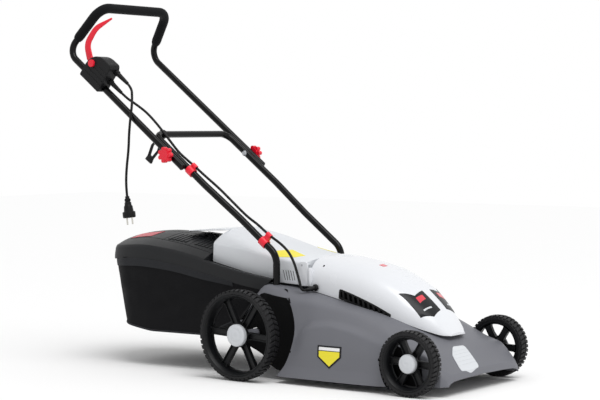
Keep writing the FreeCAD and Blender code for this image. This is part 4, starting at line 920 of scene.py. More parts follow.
    def front_pad(self) -> None:
        """Pale ribbed pad let into the sloping front, left of the middle."""
        shell = self.skin("front_film")
        thicken(shell, 1.2, outward=True)
        outline = [(572, -6), (568, -54), (590, -92), (625, -108), (629, -66), (626, -20)]
        pad = twin(shell, "front_pad")
        corners = rounded_flat(outline, [8] * len(outline), 4, closed=True)
        boolean(pad, [prism("outline", corners, "Z", 20, 130)], "INTERSECT")
        slits = []
        for start in (582, 590, 598, 606, 614):
            slit = [(start, -130), (start + 1.6, -130), (start + 1.6, 30), (start, 30)]
            slits.append(prism("slit", slit, "Z", 20, 130))
        strip = twin(pad, "front_pad_core")
        boolean(pad, slits)
        moved(strip, Matrix.Translation((-0.35 * MM, 0, -0.45 * MM)))
        pad = join("front_pad", [pad, strip])
        finish(pad, Look.CAP, "chassis")
        bpy.data.objects.remove(shell)

    def hull(self) -> Piece:
        """Solid under the skin, closed across the bottom.

        Returns:
            The solid.
        """
        stations = self.stations()
        rings = []
        for place in stations.spread(self.step):
            numbers = stations.at(place)
            half = [(0.0, numbers[1])] + [(y - 0.4, z - 0.4) for y, z in zip(numbers[::2], numbers[1::2])]
            rings.append([(place, y, z) for y, z in mirrored(half)])
        return loft("hull", rings)

    def painted_shade_sheets(self) -> list[Piece]:
        """Painted shade: black inner walls of the arches, kept inside the skin: a band round each tyre, a
        plate behind it.

        Returns:
            Meshes to be joined to the deck.
        """
        found = []
        for (x, z), radius, inner in zip(self.axles, self.arch_radii, self.arch_inner):
            low = inner - 20
            band = [(radius - 0.4, low), (radius + 2.6, low),
                    (radius + 2.6, self.arch_end), (radius - 0.4, self.arch_end)]
            plate = [(14, inner - 2), (radius + 1, inner - 2), (radius + 1, inner + 0.6), (14, inner + 0.6)]
            for side in SIDES.values():
                for name, profile in (("band", band), ("plate", plate)):
                    piece = turned(name, profile, (x, 0, z), side)
                    boolean(piece, [self.hull()], "INTERSECT")
                    # each band and plate is black painted shade
                    piece.data.materials.clear()
                    piece.data.materials.append(material_of(Look.LINER))
                    found.append(piece)
        return [piece for piece in found if piece.data.polygons]

    def build(self) -> None:
        """Make the deck and what lies on it."""
        deck = self.skin("deck_moulding")
        thicken(deck, self.wall)
        deck.data.materials.append(material_of(Look.DECK))
        # the arch cutters leave black painted shade on the arch walls
        boolean(deck, self.arches())
        mouth = prism("mouth", [(-40, 152), (60, 230), (60, 300), (-40, 300)], "Y", -124, 124)
        boolean(deck, [mouth])
        # joins the black painted-shade sheets in the arches
        deck = join("deck_moulding", [deck] + self.inner_pieces() + self.painted_shade_sheets())
        finish(deck, Look.DECK, "chassis", ["deck"], 28)
        self.badge()
        self.front_pad()


# ---------------------------------------------------------------------------
# Motor cover
# ---------------------------------------------------------------------------
@dataclass
class MotorCover:
    """White hood over the motor, its side vents, hinge ears, nose badge and small fittings."""
    wall: float = 3.0
    step: float = 9.0
    bars: int = 9

    def stations(self) -> Stations:
        """Half width, foot, ridge and roundness of the cross-section.

        Returns:
            The table, by X.
        """
        return Stations([
            (169.5, 118, 235.8, 322, 3.4),
            (225, 118.5, 224.5, 317.5, 3.3),
            (330, 118, 200.8, 299, 3.1),
            (430, 109, 174.8, 258, 2.6),
            (475, 93, 157, 225, 2.35),
            (515, 70, 142, 188, 2.2),
            (540, 50, 134, 158, 2.1),
            (552, 34, 132.6, 139, 2.1),
        ])

    def section(self, place: float, lift: float = 0.0, steps: int = 44) -> list[Point]:
        """Points from the right foot over the ridge to the left foot at one place along X.

        Args:
            place: Place along X, mm.
            lift: Distance outside the hood, mm.
            steps: Points, less one.

        Returns:
            Points of the section.
        """
        half, foot, ridge, power = self.stations().at(place)
        half, rise = half + lift, ridge + lift - foot
        ring = []
        for index in range(steps + 1):
            turn = math.pi * index / steps
            wide, high = math.cos(turn), math.sin(turn)
            ring.append((place, -math.copysign(half * abs(wide) ** (2 / power), wide),
                         foot + rise * abs(high) ** (2 / power)))
        return ring

    def skin(self, name: str, lift: float = 0.0) -> Piece:
        """Outer surface, lifted off the hood by some millimetres, open below and at the rear."""
        return loft(name, [self.section(place, lift) for place in self.stations().spread(self.step)],
                    closed=False, caps=False)

    def shell(self) -> Piece:
        """Hood with closed ends, its wall and its window cut-outs.

        Returns:
            The hood.
        """
        rings = [self.section(place) for place in self.stations().spread(self.step)]
        shell = loft("hood", rings, closed=False, caps=True)
        thicken(shell, self.wall)
        shell.data.materials.append(material_of(Look.HOOD))
        windows = []
        for side in SIDES.values():
            outline = rounded_flat([(266, 222), (268, 240), (305, 229), (365, 208), (414, 184),
                                    (412, 176), (340, 201)], [4, 5, 30, 30, 3, 3, 30], 4, closed=True)
            cutter = prism("window", outline, "Y", *sorted((side * 70, side * 150)))
            cutter.data.materials.append(material_of(Look.BLACK))
            windows.append(cutter)
        boolean(shell, windows)
        for x, y in ((202, -100), (202, 100)):
            bpy.ops.mesh.primitive_cylinder_add(vertices=24, radius=2.6 * MM, depth=0.03,
                                                location=(x * MM, y * MM, 0.3))
            hole = bpy.context.active_object
            bpy.ops.object.transform_apply()
            # black painted shade on the walls of the screw holes
            hole.data.materials.append(material_of(Look.LINER))
            boolean(shell, [hole])
        return shell

    def grooves(self, shell: Piece) -> None:
        """Three shallow grooves across the ridge and an oval dimple near the rear.

        Args:
            shell: The hood, which changes.
        """
        for index in range(3):
            place = 330 + 34 * index
            path = [Vector((place + 10 * (abs(spot[1]) / 80) ** 2, spot[1], spot[2] + 1.1))
                    for spot in self.section(place, 0, 60) if abs(spot[1]) < 78]
            boolean(shell, [tube("groove", path, 1.9)])
        bpy.ops.mesh.primitive_uv_sphere_add(segments=48, ring_count=24, radius=1.0,
                                             location=(0.205, 0, 0.3385))
        dimple = bpy.context.active_object
        dimple.scale = (0.034, 0.060, 0.0212)
        bpy.ops.object.transform_apply()
        dimple.data.materials.append(material_of(Look.FLAP))
        boolean(shell, [dimple])

    def ears(self) -> None:
        """Hinge ears at the rear corners, each with its web."""
        for name, side in SIDES.items():
            near, far = sorted((side * 124.2, side * 127.8))
            plate = rounded_flat([(141, 246), (168.5, 246), (168.5, 309), (141, 309)],
                                 [4, 1, 8, 10], 4, closed=True)
            ear = prism(f"hinge_ear_{name}", plate, "Y", near, far)
            web = prism("web", [(170.6, 246), (175.4, 246), (175.4, 294), (170.6, 294)], "Y",
                        *sorted((side * 111, side * 127.8)))
            finish(bevel(join(f"hinge_ear_{name}", [ear, web]), 0.6), Look.HOOD, "chassis")

    def vents(self) -> None:
        """Black louvred panels behind the windows: a curved backing and upright bars."""
        for name, side in SIDES.items():
            backing = self.skin("backing", -9.0)
            thicken(backing, 2.0)
            zone = prism("zone", [(258, 214), (262, 248), (310, 236), (370, 214), (420, 190), (420, 170)],
                         "Y", *sorted((side * 60, side * 150)))
            boolean(backing, [zone], "INTERSECT")
            bars = [backing]
            for index in range(self.bars):
                place = 274 + 15.6 * index
                foot = 219 - 0.245 * (place - 266) - 0.0006 * (place - 266) ** 2
                top = 243 - 0.30 * (place - 266) - 0.0007 * (place - 266) ** 2
                half = self.stations().at(place)[0]
                outline = [(place, foot), (place + 7, foot - 2), (place + 3.4, top), (place - 2.6, top + 2)]
                bar = prism("bar", outline, "Y", *sorted((side * (half - 12), side * (half + 0.4))))
                bars.append(bevel(bar, 0.8, 2))
            rim = self.rim(side)
            finish(join(f"side_vent_{name}", bars + [rim]), Look.BLACK, "chassis",
                   [f"vent_grille_{name}"])

    def rim(self, side: int) -> Piece:
        """Thin black lip round a window, on the hood's own surface.

        Args:
            side: -1 on the right, 1 on the left.

        Returns:
            The lip.
        """
        lip = self.skin("lip", 0.0)
        thicken(lip, 1.0, outward=True)
        outer = rounded_flat([(262, 218), (264, 244), (305, 232.5), (367, 211), (419, 186), (417, 172),
                              (340, 197)], [4, 6, 30, 30, 3, 3, 30], 4, closed=True)
        inner = rounded_flat([(267, 222.5), (269, 239), (305, 228), (365, 207), (413, 183.5), (411, 177),
                              (340, 201.5)], [4, 5, 30, 30, 3, 3, 30], 4, closed=True)
        band = prism("outer", outer, "Y", *sorted((side * 60, side * 150)))
        hole = prism("inner", inner, "Y", *sorted((side * 50, side * 160)))
        boolean(band, [hole])
        return boolean(lip, [band], "INTERSECT")

    def nose_badge(self) -> None:
        """Dark chevron-shaped film over the nose, with a red bar and a silver line in place of print."""
        shell = self.skin("nose_film")
        thicken(shell, 0.8, outward=True)
        wing = [(427, 88), (457, 58), (454, 18), (508, 15), (511, 50), (489, 80)]
        layers = []
        for way, sign in SIDES.items():
            layers += [
                (f"nose_badge_wing_{way}", Look.BADGE, [(x, sign * y) for x, y in wing], 0.0),
                (f"nose_badge_bar_{way}", Look.BADGE_RED,
                 [(462, sign * 61), (475, sign * 61), (475, sign * 34), (464, sign * 34)], 0.5),
                (f"nose_badge_line_{way}", Look.BADGE_SILVER,
                 [(488, sign * 66), (491, sign * 65), (497, sign * 38), (494, sign * 38)], 0.5),
            ]
        for name, look, shape, lift in layers:
            patch = twin(shell, name)
            moved(patch, Matrix.Translation((lift * 0.6 * MM, 0, lift * MM)))
            boolean(patch, [prism("outline", shape, "Z", 100, 340)], "INTERSECT")
            finish(patch, look, "chassis")
        dot = twin(shell, "power_mark")
        outline = [(316, 8), (332, 6), (334, -14), (320, -16)]
        boolean(dot, [prism("outline", outline, "Z", 100, 340)], "INTERSECT")
        finish(dot, Look.BADGE_RED, "chassis")
        bpy.data.objects.remove(shell)

    def build(self) -> None:
        """Make the hood and its fittings."""
        shell = self.shell()
        self.grooves(shell)
        finish(shell, Look.HOOD, "chassis", ["motor_cover"], 30)
        self.ears()
        self.vents()
        self.nose_badge()


# ---------------------------------------------------------------------------
# Rear flap
# ---------------------------------------------------------------------------
@dataclass
class RearFlap:
    """Pale flap over the chute: crowned hood, tongue over the box, hinge lugs, slits and a yellow film."""
    wall: float = 2.5
    step: float = 12

    def stations(self) -> Stations:
        """Half width, foot, ridge and edge height.

        Returns:
            The table, by X.
        """
        return Stations([
            (-142, 137, 298, 386, 349),
            (-60, 133, 280, 372, 339),
            (60, 127, 253, 339, 316),
            (156, 121, 247, 316, 306),
        ])

    def section(self, place: float, lift: float = 0.0) -> list[Point]:
        """Points across the flap at one place along X.

        Args:
            place: Place along X, mm.
            lift: Distance outside the flap, mm.

        Returns:
            Points of the section.
        """
        half, foot, ridge, edge = self.stations().at(place)
        half, ridge, edge = half + lift, ridge + lift, edge + lift
        drop = ridge - edge
        outline = rounded_flat([(0, ridge), (0.40 * half, ridge - 0.08 * drop),
                                (0.74 * half, ridge - 0.48 * drop), (half - 3, edge), (half, foot)],
                               [0, 18, 24, 7, 0], 5)
        return [(place, y, z) for y, z in mirrored(outline)]

    def skin(self, name: str, lift: float = 0.0) -> Piece:
        """Outer surface, open below."""
        rings = [self.section(place, lift) for place in self.stations().spread(self.step)]
        return loft(name, rings, closed=False, caps=False)

    def build(self) -> None:
        """Make the flap."""
        rings = [self.section(place) for place in self.stations().spread(self.step)]
        shell = loft("discharge_flap", rings, closed=False, caps=True)
        thicken(shell, self.wall)
        shell.data.materials.append(material_of(Look.FLAP))
        slits = []
        for side in SIDES.values():
            for index in range(5):
                start = 86 + 7.5 * index
                outline = [(start + 7, 258), (start + 9, 258), (start + 2, 284), (start, 284)]
                slit = prism("slit", outline, "Y", *sorted((side * 110, side * 140)))
                # black painted shade on the walls of the slits
                slit.data.materials.append(material_of(Look.LINER))
                slits.append(slit)
        boolean(shell, slits)
        bevel(shell, 0.8, 2, 50)
        tongue = loft("tongue", [
            [(x, y, z) for y, z in ((-wide, top - 3), (-wide, top), (wide, top), (wide, top - 3))]
            for x, wide, top in ((-292, 62, 372), (-284, 68, 374), (-200, 78, 380), (-140.5, 84, 382.5))])
        bevel(tongue, 1.2, 2)
        tongue.data.materials.append(material_of(Look.FLAP))
        lugs = []
        for side in SIDES.values():
            lug = turned("lug", [(3.2, 97), (7, 97), (7, 120), (3.2, 120)], (150, 0, 300), side, 32)
            lug.data.materials.append(material_of(Look.FLAP))
            lugs.append(lug)
        flap = join("discharge_flap", [shell, tongue] + lugs)
        finish(flap, Look.FLAP, "flap", ["rear_flap"], 30)
        film = self.skin("flap_film")
        thicken(film, 0.6, outward=True)
        for name, outline in (("flap_film_right", [(54, -122), (98, -118), (120, -70), (70, -58), (40, -96)]),
                              ("flap_film_left", [(54, 122), (98, 118), (120, 70), (70, 58), (40, 96)])):
            patch = twin(film, name)
            boolean(patch, [prism("outline", outline, "Z", 318, 400)], "INTERSECT")
            if patch.data.polygons:
                finish(patch, Look.YELLOW, "flap")
            else:
                bpy.data.objects.remove(patch)
        bpy.data.objects.remove(film)


# ---------------------------------------------------------------------------
# Grass box
# ---------------------------------------------------------------------------
@dataclass
class GrassBox:
    """Hard ribbed cover, fabric bag with hems, and the frame at its mouth.

    Attributes:
        wall: Thickness of the cover.
        rim_depth: Depth of the band round the cover's edge.
        bend: X where the sides start to curve round the rear.
        rear: How far the rear reaches behind the bend.
        tray_start: X where the dome ends and the tray under the flap starts.
    """
    wall: float = 2.5
    rim_depth: float = 35.0
    bend: float = -413
    rear: float = 117
    tray_start: float = -150

    def stations(self) -> Stations:
        """Half width, rim height, crown height and floor height.

        Returns:
            The table, by X.
        """
        return Stations([
            (-530, 60, 322, 341, 262),
            (-524, 92, 323, 347, 240),
            (-502, 134, 325, 355, 190),
            (-462, 172, 328, 362, 135),
            (-413, 183, 332, 367, 116),
            (-370, 185, 334, 369, 104),
            (-280, 180, 327, 365, 98),
            (-150, 173, 303, 352, 98),
        ])

    def tray(self) -> Stations:
        """Half width, rim height and floor height under the flap."""
        return Stations([(-150, 173, 303, 98), (-19, 167, 276, 146), (81, 165, 262, 146)])

    def mouth_cutter(self) -> Piece:
        """Everything forward of the slope of the deck's mouth."""
        lean = 0.88
        low, high = -20 - 60 * lean - 1.34, 68 + 60 * lean - 1.34
        return prism("beyond", [(low, 90), (low + 400, 90), (high + 400, 310), (high, 310)], "Y", -300, 300)

    def cover(self) -> None:
        """Domed cover with its rim band, and the low tray under the flap."""
        rings = []
        stations = self.stations()
        for place in stations.spread(10):
            half, rim, crown, _ = stations.at(place)
            edge = min(crown - 2, rim + 3)
            drop = crown - edge
            outline = rounded_flat([(0, crown), (0.30 * half, crown - 0.14 * drop),
                                    (0.66 * half, crown - 0.50 * drop), (half - 9, edge),
                                    (half - 4, rim - 4), (half, rim - 24), (half, rim - self.rim_depth)],
                                   [0, 20, 22, 3, 3, 2, 0], 4)
            rings.append([(place, y, z) for y, z in mirrored(outline)])
        dome = loft("box_cover", rings, closed=False, caps=True)
        thicken(dome, self.wall)
        dome.data.materials.append(material_of(Look.BOX))
        self.grooves(dome)
        sides = [dome]
        tray = self.tray()
        for side in SIDES.values():
            rings = []
            for place in tray.spread(20):
                half, rim, _ = tray.at(place)
                rings.append([(place, side * y, z) for y, z in (
                    (half - 19, rim - 11), (half - 18, rim - 1), (half - 16, rim), (half - 3, rim),
                    (half, rim - 3), (half, rim - self.rim_depth), (half - self.wall, rim - self.rim_depth),
                    (half - self.wall, rim - self.wall - 1), (half - 19 + self.wall, rim - self.wall - 1))])
            rail = loft("rail", rings)
            boolean(rail, [self.mouth_cutter()])
            rail.data.materials.clear()
            rail.data.materials.append(material_of(Look.BOX))
            sides.append(rail)
        finish(join("box_cover", sides), Look.BOX_DARK, "grass_box", ["grass_box_cover"], 30)
        self.lid_details()

    def grooves(self, dome: Piece) -> None:
        """Moulded lines that divide the cover into lanes.

        Args:
            dome: The cover, which changes.
        """
        lanes = [
            [(-500, -84), (-440, -116), (-300, -128), (-155, -134)],
            [(-500, 84), (-440, 116), (-300, 128), (-155, 134)],
            [(-505, -30), (-155, -34)],
            [(-505, 30), (-155, 34)],
            [(-330, -130), (-330, -40)],
            [(-330, 130), (-330, 40)],
            [(-236, -130), (-236, -40)],
            [(-236, 130), (-236, 40)],
        ]
        for lane in lanes:
            path = []
            for (x0, y0), (x1, y1) in zip(lane, lane[1:]):
                for index in range(8):
                    share = index / 8
                    path.append((x0 + (x1 - x0) * share, y0 + (y1 - y0) * share))
            path.append(lane[-1])
            line = [Vector((x, y, self.top(x, y) + 0.6)) for x, y in path]
            boolean(dome, [tube("groove", line, 2.0)])

    def top(self, x: float, y: float) -> float:
        """Height of the cover's top at a place.

        Args:
            x: Place along X, mm.
            y: Place along Y, mm.

        Returns:
            The height, mm.
        """
        half, rim, crown, _ = self.stations().at(x)
        edge = min(crown - 2, rim + 3)
        drop = crown - edge
        knots = [(0, crown), (0.30 * half, crown - 0.14 * drop), (0.66 * half, crown - 0.50 * drop),
                 (half - 9, edge), (half, rim)]
        for (y0, z0), (y1, z1) in zip(knots, knots[1:]):
            if abs(y) <= y1:
                return z0 + (z1 - z0) * (abs(y) - y0) / (y1 - y0)
        return rim

    def lid_details(self) -> None:
        """Raised pads with ribs beside the flap, and a plain red film near the rear."""
        for name, side in SIDES.items():
            for row, (start, end) in enumerate(((-318, -248), (-224, -160))):
                pads = []
                for index in range(5):
                    x0 = start + (end - start) * index / 5
                    x1 = x0 + (end - start) / 5 - 5
                    corners = [(x0, 58), (x1, 58), (x1, 118), (x0, 118)]
                    rings = [[(x, side * y, self.top(x, y) + lift) for x, y in corners]
                             for lift in (-1.0, 1.4)]
                    pads.append(bevel(loft("rib", rings), 0.7, 2))
                finish(join(f"lid_ribs_{name}_{row}", pads), Look.BOX_DARK, "grass_box")
        corners = [(-470, -56), (-392, -44), (-392, -104), (-462, -112)]
        grid = []
        for index in range(9):
            share = index / 8
            row = []
            for across in range(7):
                part = across / 6
                x = (corners[0][0] * (1 - share) + corners[1][0] * share) * (1 - part) \
                    + (corners[3][0] * (1 - share) + corners[2][0] * share) * part
                y = (corners[0][1] * (1 - share) + corners[1][1] * share) * (1 - part) \
                    + (corners[3][1] * (1 - share) + corners[2][1] * share) * part
                row.append((x, y, self.top(x, y) + 0.4))
            grid.append(row)
        film = loft("lid_film", grid, closed=False, caps=False)
        thicken(film, 0.7, outward=True)
        finish(film, Look.LABEL, "grass_box")

    def bag_point(self, turn: float, drop: float) -> Vector:
        """Point of the bag's side wall.

        Args:
            turn: 0 at the right front corner, 0.5 at the middle of the rear, 1 at the left front corner.
            drop: 0 at the rim band, 1 at the floor.

        Returns:
            The point, mm.
        """
        place, side = self.plan(turn)
        half, rim, floor = self.walls(place)
        start = Vector((place, side * half, rim - self.rim_depth + 4))
        low = max(floor, 100.0)
        forward = max(0.0, (-330 - place) / 200)
        end = Vector((place + 44 * forward * drop, side * (half - 7), low))
        spot = start.lerp(end, drop)
        spot.z = start.z + (100 + 22 * forward - start.z) * drop if place < -330 else spot.z
        pull = 9 * math.sin(math.pi * min(1, drop * 1.02)) * (0.6 + 0.4 * math.sin(9 * turn))
        spot.y -= side * pull
        spot.x += pull * forward
        crease = noise.noise(Vector((spot.x * 0.012, spot.y * 0.012, spot.z * 0.03)))
        fine = noise.noise(Vector((spot.x * 0.05 + 9, spot.y * 0.05, spot.z * 0.04)))
        depth = math.sin(math.pi * drop)
        spot.y += side * (5.0 * crease + 1.8 * fine) * depth
        spot.x += (3.5 * crease) * depth * forward
        return spot

    def plan(self, turn: float) -> tuple[float, float]:
        """Place along X, and the share of the half width with its side, for a turn round the bag.

        Args:
            turn: 0 at the right front corner, 1 at the left one.

        Returns:
            X in mm, and the share from -1 to 1.
        """
        front = 70.0
        straight = 0.32
        if turn < straight or turn > 1 - straight:
            share = (turn if turn < straight else 1 - turn) / straight
            return front + (self.bend - front) * share, -1 if turn < 0.5 else 1
        share = (turn - straight) / (1 - 2 * straight)
        angle = math.pi * share
        return self.bend - self.rear * math.sin(angle), -math.cos(angle)

    def walls(self, place: float) -> tuple[float, float, float]:
        """Half width, rim height and floor height at a place.

        Args:
            place: Place along X, mm.

        Returns:
            The three measures, mm.
        """
        if place < self.bend:
            _, rim, _, floor = self.stations().at(place)
            return 183.0, rim, floor
        if place < self.tray_start:
            half, rim, _, floor = self.stations().at(place)
            return half, rim, floor
        half, rim, floor = self.tray().at(place)
        return half, rim, floor

    def bag(self) -> None:
        """Sewn bag: side wall, floor, top hem and bottom binding."""
        turns, drops = 120, 22
        rings = [[self.bag_point(index / turns, level / drops) for index in range(turns + 1)]
                 for level in range(drops + 1)]
        points = [spot for ring in rings for spot in ring]
        faces = []
        width = turns + 1
        for level in range(drops):
            for index in range(turns):
                faces.append((level * width + index, level * width + index + 1,
                              (level + 1) * width + index + 1, (level + 1) * width + index))
        base = drops * width
        across = 10
        rows = []
        for index in range(turns // 2 + 1):
            right, left = rings[-1][index], rings[-1][turns - index]
            row = [base + index]
            for step in range(1, across):
                share = step / across
                spot = right.lerp(left, share)
                spot.z -= 3.0 * math.sin(math.pi * share)
                row.append(len(points))
                points.append(spot)
            row.append(base + turns - index)
            rows.append(row)
        for first, second in zip(rows, rows[1:]):
            for step in range(across):
                quad = (first[step], first[step + 1], second[step + 1], second[step])
                faces.append(tuple(dict.fromkeys(quad)))
        bag = mesh_piece("grass_bag_cloth", points, [face for face in faces if len(face) > 2])
        thicken(bag, 1.6)
        boolean(bag, [self.mouth_cutter()])
        bag.data.materials.clear()
        finish(bag, Look.FABRIC, "grass_box", ["grass_bag"], 60)
        self.hems()

    def hems(self) -> None:
        """Flat tape under the rim band, and piping round the floor."""
        turns = 110
        bottom = [self.bag_point(0.03 + 0.94 * index / turns, 1.0) for index in range(turns + 1)]
        finish(tube("bottom_piping", bottom, 2.6), Look.BINDING, "grass_box")
        rows = []
        for index in range(turns + 1):
            turn = 0.08 + 0.84 * index / turns
            top, low = self.bag_point(turn, 0.02), self.bag_point(turn, 0.13)
            behind = max(0.0, (self.bend - top.x) / self.rear)
            outward = Vector((-behind, math.copysign(1, top.y), 0)).normalized() * 1.0
            rows.append([top + outward, top.lerp(low, 0.5) + outward * 1.3, low + outward])
        tape = loft("top_hem", rows, closed=False, caps=False)
        thicken(tape, 1.0, outward=True)
        finish(tape, Look.BINDING, "grass_box")

    def build(self) -> None:
        """Make the box."""
        self.cover()
        self.bag()
        frame_ring = refined("grass_box_frame", "mouth_frame", 0.8)
        finish(frame_ring, Look.BLACK, "grass_box", ["grass_box_frame"])


# ---------------------------------------------------------------------------
# Wheels
# ---------------------------------------------------------------------------
@dataclass
class Wheel:
    """Moulded wheel with six channelled spokes, two rows of slanted tread blocks and a pale cap.

    Attributes:
        end: "rear" or "front".
        centre: Axle's X and Z, mm.
        radius: Outer radius over the tread.
        width: Width of the tyre.
        face: Distance of the outer face from the middle plane.
        cap_radius: Radius of the pale cap.
        blocks: Tread blocks in each row.
    """
    end: str
    centre: tuple[float, float]
    radius: float
    width: float
    face: float
    cap_radius: float
    blocks: int
    tread_depth: float = 13.0
    rim_depth: float = 9.0
    spokes: int = 6

    def tyre(self, side_name: str, side: int) -> Piece:
        """Tyre band with angled blocks cut by narrow grooves.

        Args:
            side_name: "right" or "left".
            side: -1 on the right, 1 on the left.

        Returns:
            The tyre.
        """
        inner, outer = self.face - self.width, self.face
        low, high = self.radius - self.tread_depth, self.radius
        floor = high - 4.8
        profile = [(low, inner + 1), (low, outer - 1), (low + 1, outer), (floor - 3, outer),
                   (floor, outer - 3), (floor, inner + 3), (floor - 3, inner), (low + 1, inner)]
        centre = Vector((self.centre[0], 0, self.centre[1]))
        band = turned(f"tyre_{self.end}_{side_name}", profile, centre, side, 120)
        points, faces = [], []
        middle = (inner + outer) / 2
        pitch = 2 * math.pi / self.blocks
        for row, (near, far) in enumerate(((inner + 0.6, middle - 1.2), (middle + 1.2, outer - 0.6))):
            for index in range(self.blocks):
                start = pitch * (index + 0.5 * row)
                lean = 0.42 * pitch * (1 if row else -1)
                base = len(points)
                for height, shrink in ((floor - 2.6, 0.0), (high - 0.7, 0.0), (high, 0.7)):
                    for out, turn in ((near, 0.0), (near, 0.68), (far, 0.68), (far, 0.0)):
                        slant = lean * (out - near) / (far - near)
                        inset = shrink * (1 if out == near else -1)
                        edge = shrink / high * (1 if turn == 0.0 else -1)
                        angle = start + turn * pitch + slant + edge
                        across = out + inset
                        at_edge = (row == 0 and out == near) or (row == 1 and out == far)
                        reach = height - (1.8 if height > floor and at_edge else 0.0)
                        spoke = Vector((reach * math.sin(angle), side * across, reach * math.cos(angle)))
                        points.append(centre + spoke)
                for level in range(2):
                    for at in range(4):
                        after = (at + 1) % 4
                        faces.append((base + 4 * level + at, base + 4 * level + after,
                                      base + 4 * (level + 1) + after, base + 4 * (level + 1) + at))
                faces.append(tuple(base + at for at in range(4)))
                faces.append(tuple(base + 8 + at for at in range(4)))
        blocks = mesh_piece("blocks", points, faces)
        return join(f"tyre_{self.end}_{side_name}", [band, blocks])

    def rim(self, side_name: str, side: int) -> Piece:
        """Dished rim, hub and spokes.

        Args:
            side_name: "right" or "left".
            side: -1 on the right, 1 on the left.

        Returns:
            The wheel without tyre and cap.
        """
        inner, outer = self.face - self.width, self.face
        high = self.radius - self.tread_depth
        low = high - self.rim_depth
        centre = Vector((self.centre[0], 0, self.centre[1]))
        profile = [(high - 0.2, inner + 1.5), (high - 0.2, outer - 1), (high - 1.2, outer + 0.2),
                   (high - 3.0, outer + 0.2), (high - 4.2, outer - 1.4), (high - 5.4, outer - 4),
                   (low + 1.6, outer - 7), (low, outer - 12), (low, inner + 5), (low + 3, inner + 1.5)]
        band = turned("rim", profile, centre, side, 120)
        seat = outer - 14
        hub = turned("hub", [(5.1, inner), (15, inner), (15, inner + 8), (self.cap_radius - 5, seat - 12),
                             (self.cap_radius + 2.5, seat - 5), (self.cap_radius + 2.5, seat + 1.5),
                             (self.cap_radius + 0.6, seat + 1.5), (self.cap_radius + 0.6, seat - 0.3),
                             (5.1, seat - 0.3)], centre, side, 80)
        ledge = turned("ledge", [(low - 2.5, inner + 5), (low + 0.5, inner + 5), (low + 0.5, inner + 9),
                                 (low - 2.5, inner + 8)], centre, side, 120)
        pieces = [band, hub, ledge]
        for index in range(self.spokes):
            turn = Matrix.Rotation(2 * math.pi * index / self.spokes + math.radians(3), 4, "Y")
            for across in (-1, 1):
                rings = []
                for reach, half, top in (
                        (self.cap_radius - 2, 9.6, seat - 3), (self.cap_radius + 12, 8.8, seat - 6),
                        (low - 8, 9.2, seat - 6), (low + 1, 12.0, seat - 4)):
                    rings.append([(reach, side * out, across * wide) for out, wide in (
                        (inner + 5, half - 2.4), (inner + 5, half), (top - 0.8, half), (top, half - 0.8),
                        (top, half - 1.7), (top - 0.7, half - 2.4))])
                flange = loft("flange", rings)
                moved(flange, Matrix.Translation(centre * MM) @ turn)
                pieces.append(flange)
            rings = [[(reach, side * out, wide) for out, wide in (
                (inner + 5, -half), (inner + 5, half), (seat - 11, half), (seat - 11, -half))]
                for reach, half in ((self.cap_radius - 2, 8.4), (low - 8, 8.0), (low + 1, 10.6))]
            floor = loft("floor", rings)
            moved(floor, Matrix.Translation(centre * MM) @ turn)
            pieces.append(floor)
        return join(f"wheel_{self.end}_{side_name}", [face_outward(piece) for piece in pieces])

    def cap(self, side_name: str, side: int) -> Piece:
        """Domed cap with a shallow ring and a small dimple.

        Args:
            side_name: "right" or "left".
            side: -1 on the right, 1 on the left.

        Returns:
            The cap.
        """
        seat = self.face - 14
        radius = self.cap_radius
        profile = [(0, seat), (radius - 0.3, seat), (radius - 0.3, seat + 8.5), (radius - 0.9, seat + 10.6),
                   (radius - 2.6, seat + 12.2), (radius - 6, seat + 13.0), (radius * 0.60, seat + 13.7),
                   (radius * 0.58, seat + 13.4), (radius * 0.54, seat + 13.8), (radius * 0.3, seat + 14.4),
                   (radius * 0.16, seat + 14.5), (radius * 0.12, seat + 14.1), (0, seat + 14.1)]
        centre = Vector((self.centre[0], 0, self.centre[1]))
        return turned(f"hub_cap_{self.end}_{side_name}", profile, centre, side, 80)

    def build(self) -> None:
        """Make the pair of wheels at this end."""
        for side_name, side in SIDES.items():
            name = f"{self.end}_{side_name}"
            body = f"wheel_{name}"
            finish(self.tyre(side_name, side), Look.TREAD, body, [f"tyre_{name}"], 34)
            rim = self.rim(side_name, side)
            rim.name = f"rim_{name}"
            finish(rim, Look.WHEEL, body, [f"wheel_{name}"], 34)
            cap = self.cap(side_name, side)
            cap.name = f"cap_{name}"
            finish(cap, Look.CAP, body, [f"hub_cap_{name}"], 40)


# ---------------------------------------------------------------------------
# Handle, controls and leads
# ---------------------------------------------------------------------------
@dataclass
class SlopedFrame:
    """Axes along the folded-out handle: run up the tube, rise square to it."""
    foot: tuple[float, float] = (84.0, 326.0)
    rise_x: float = 0.60738
    run_x: float = 0.79441
    pivot_run: float = 430.0

    def place(self, run: float, y: float, rise: float = 0.0) -> Vector:
        """Point in the mower's frame for a run and rise along the tube."""
        return Vector((self.foot[0] - run * self.run_x + rise * self.rise_x, y,
                       self.foot[1] + run * self.rise_x + rise * self.run_x))

    def past_pivot(self, run: float, y: float, rise: float = 0.0) -> Vector:
        """Point for a run counted from the fold's pivot."""
        return self.place(self.pivot_run + run, y, rise)


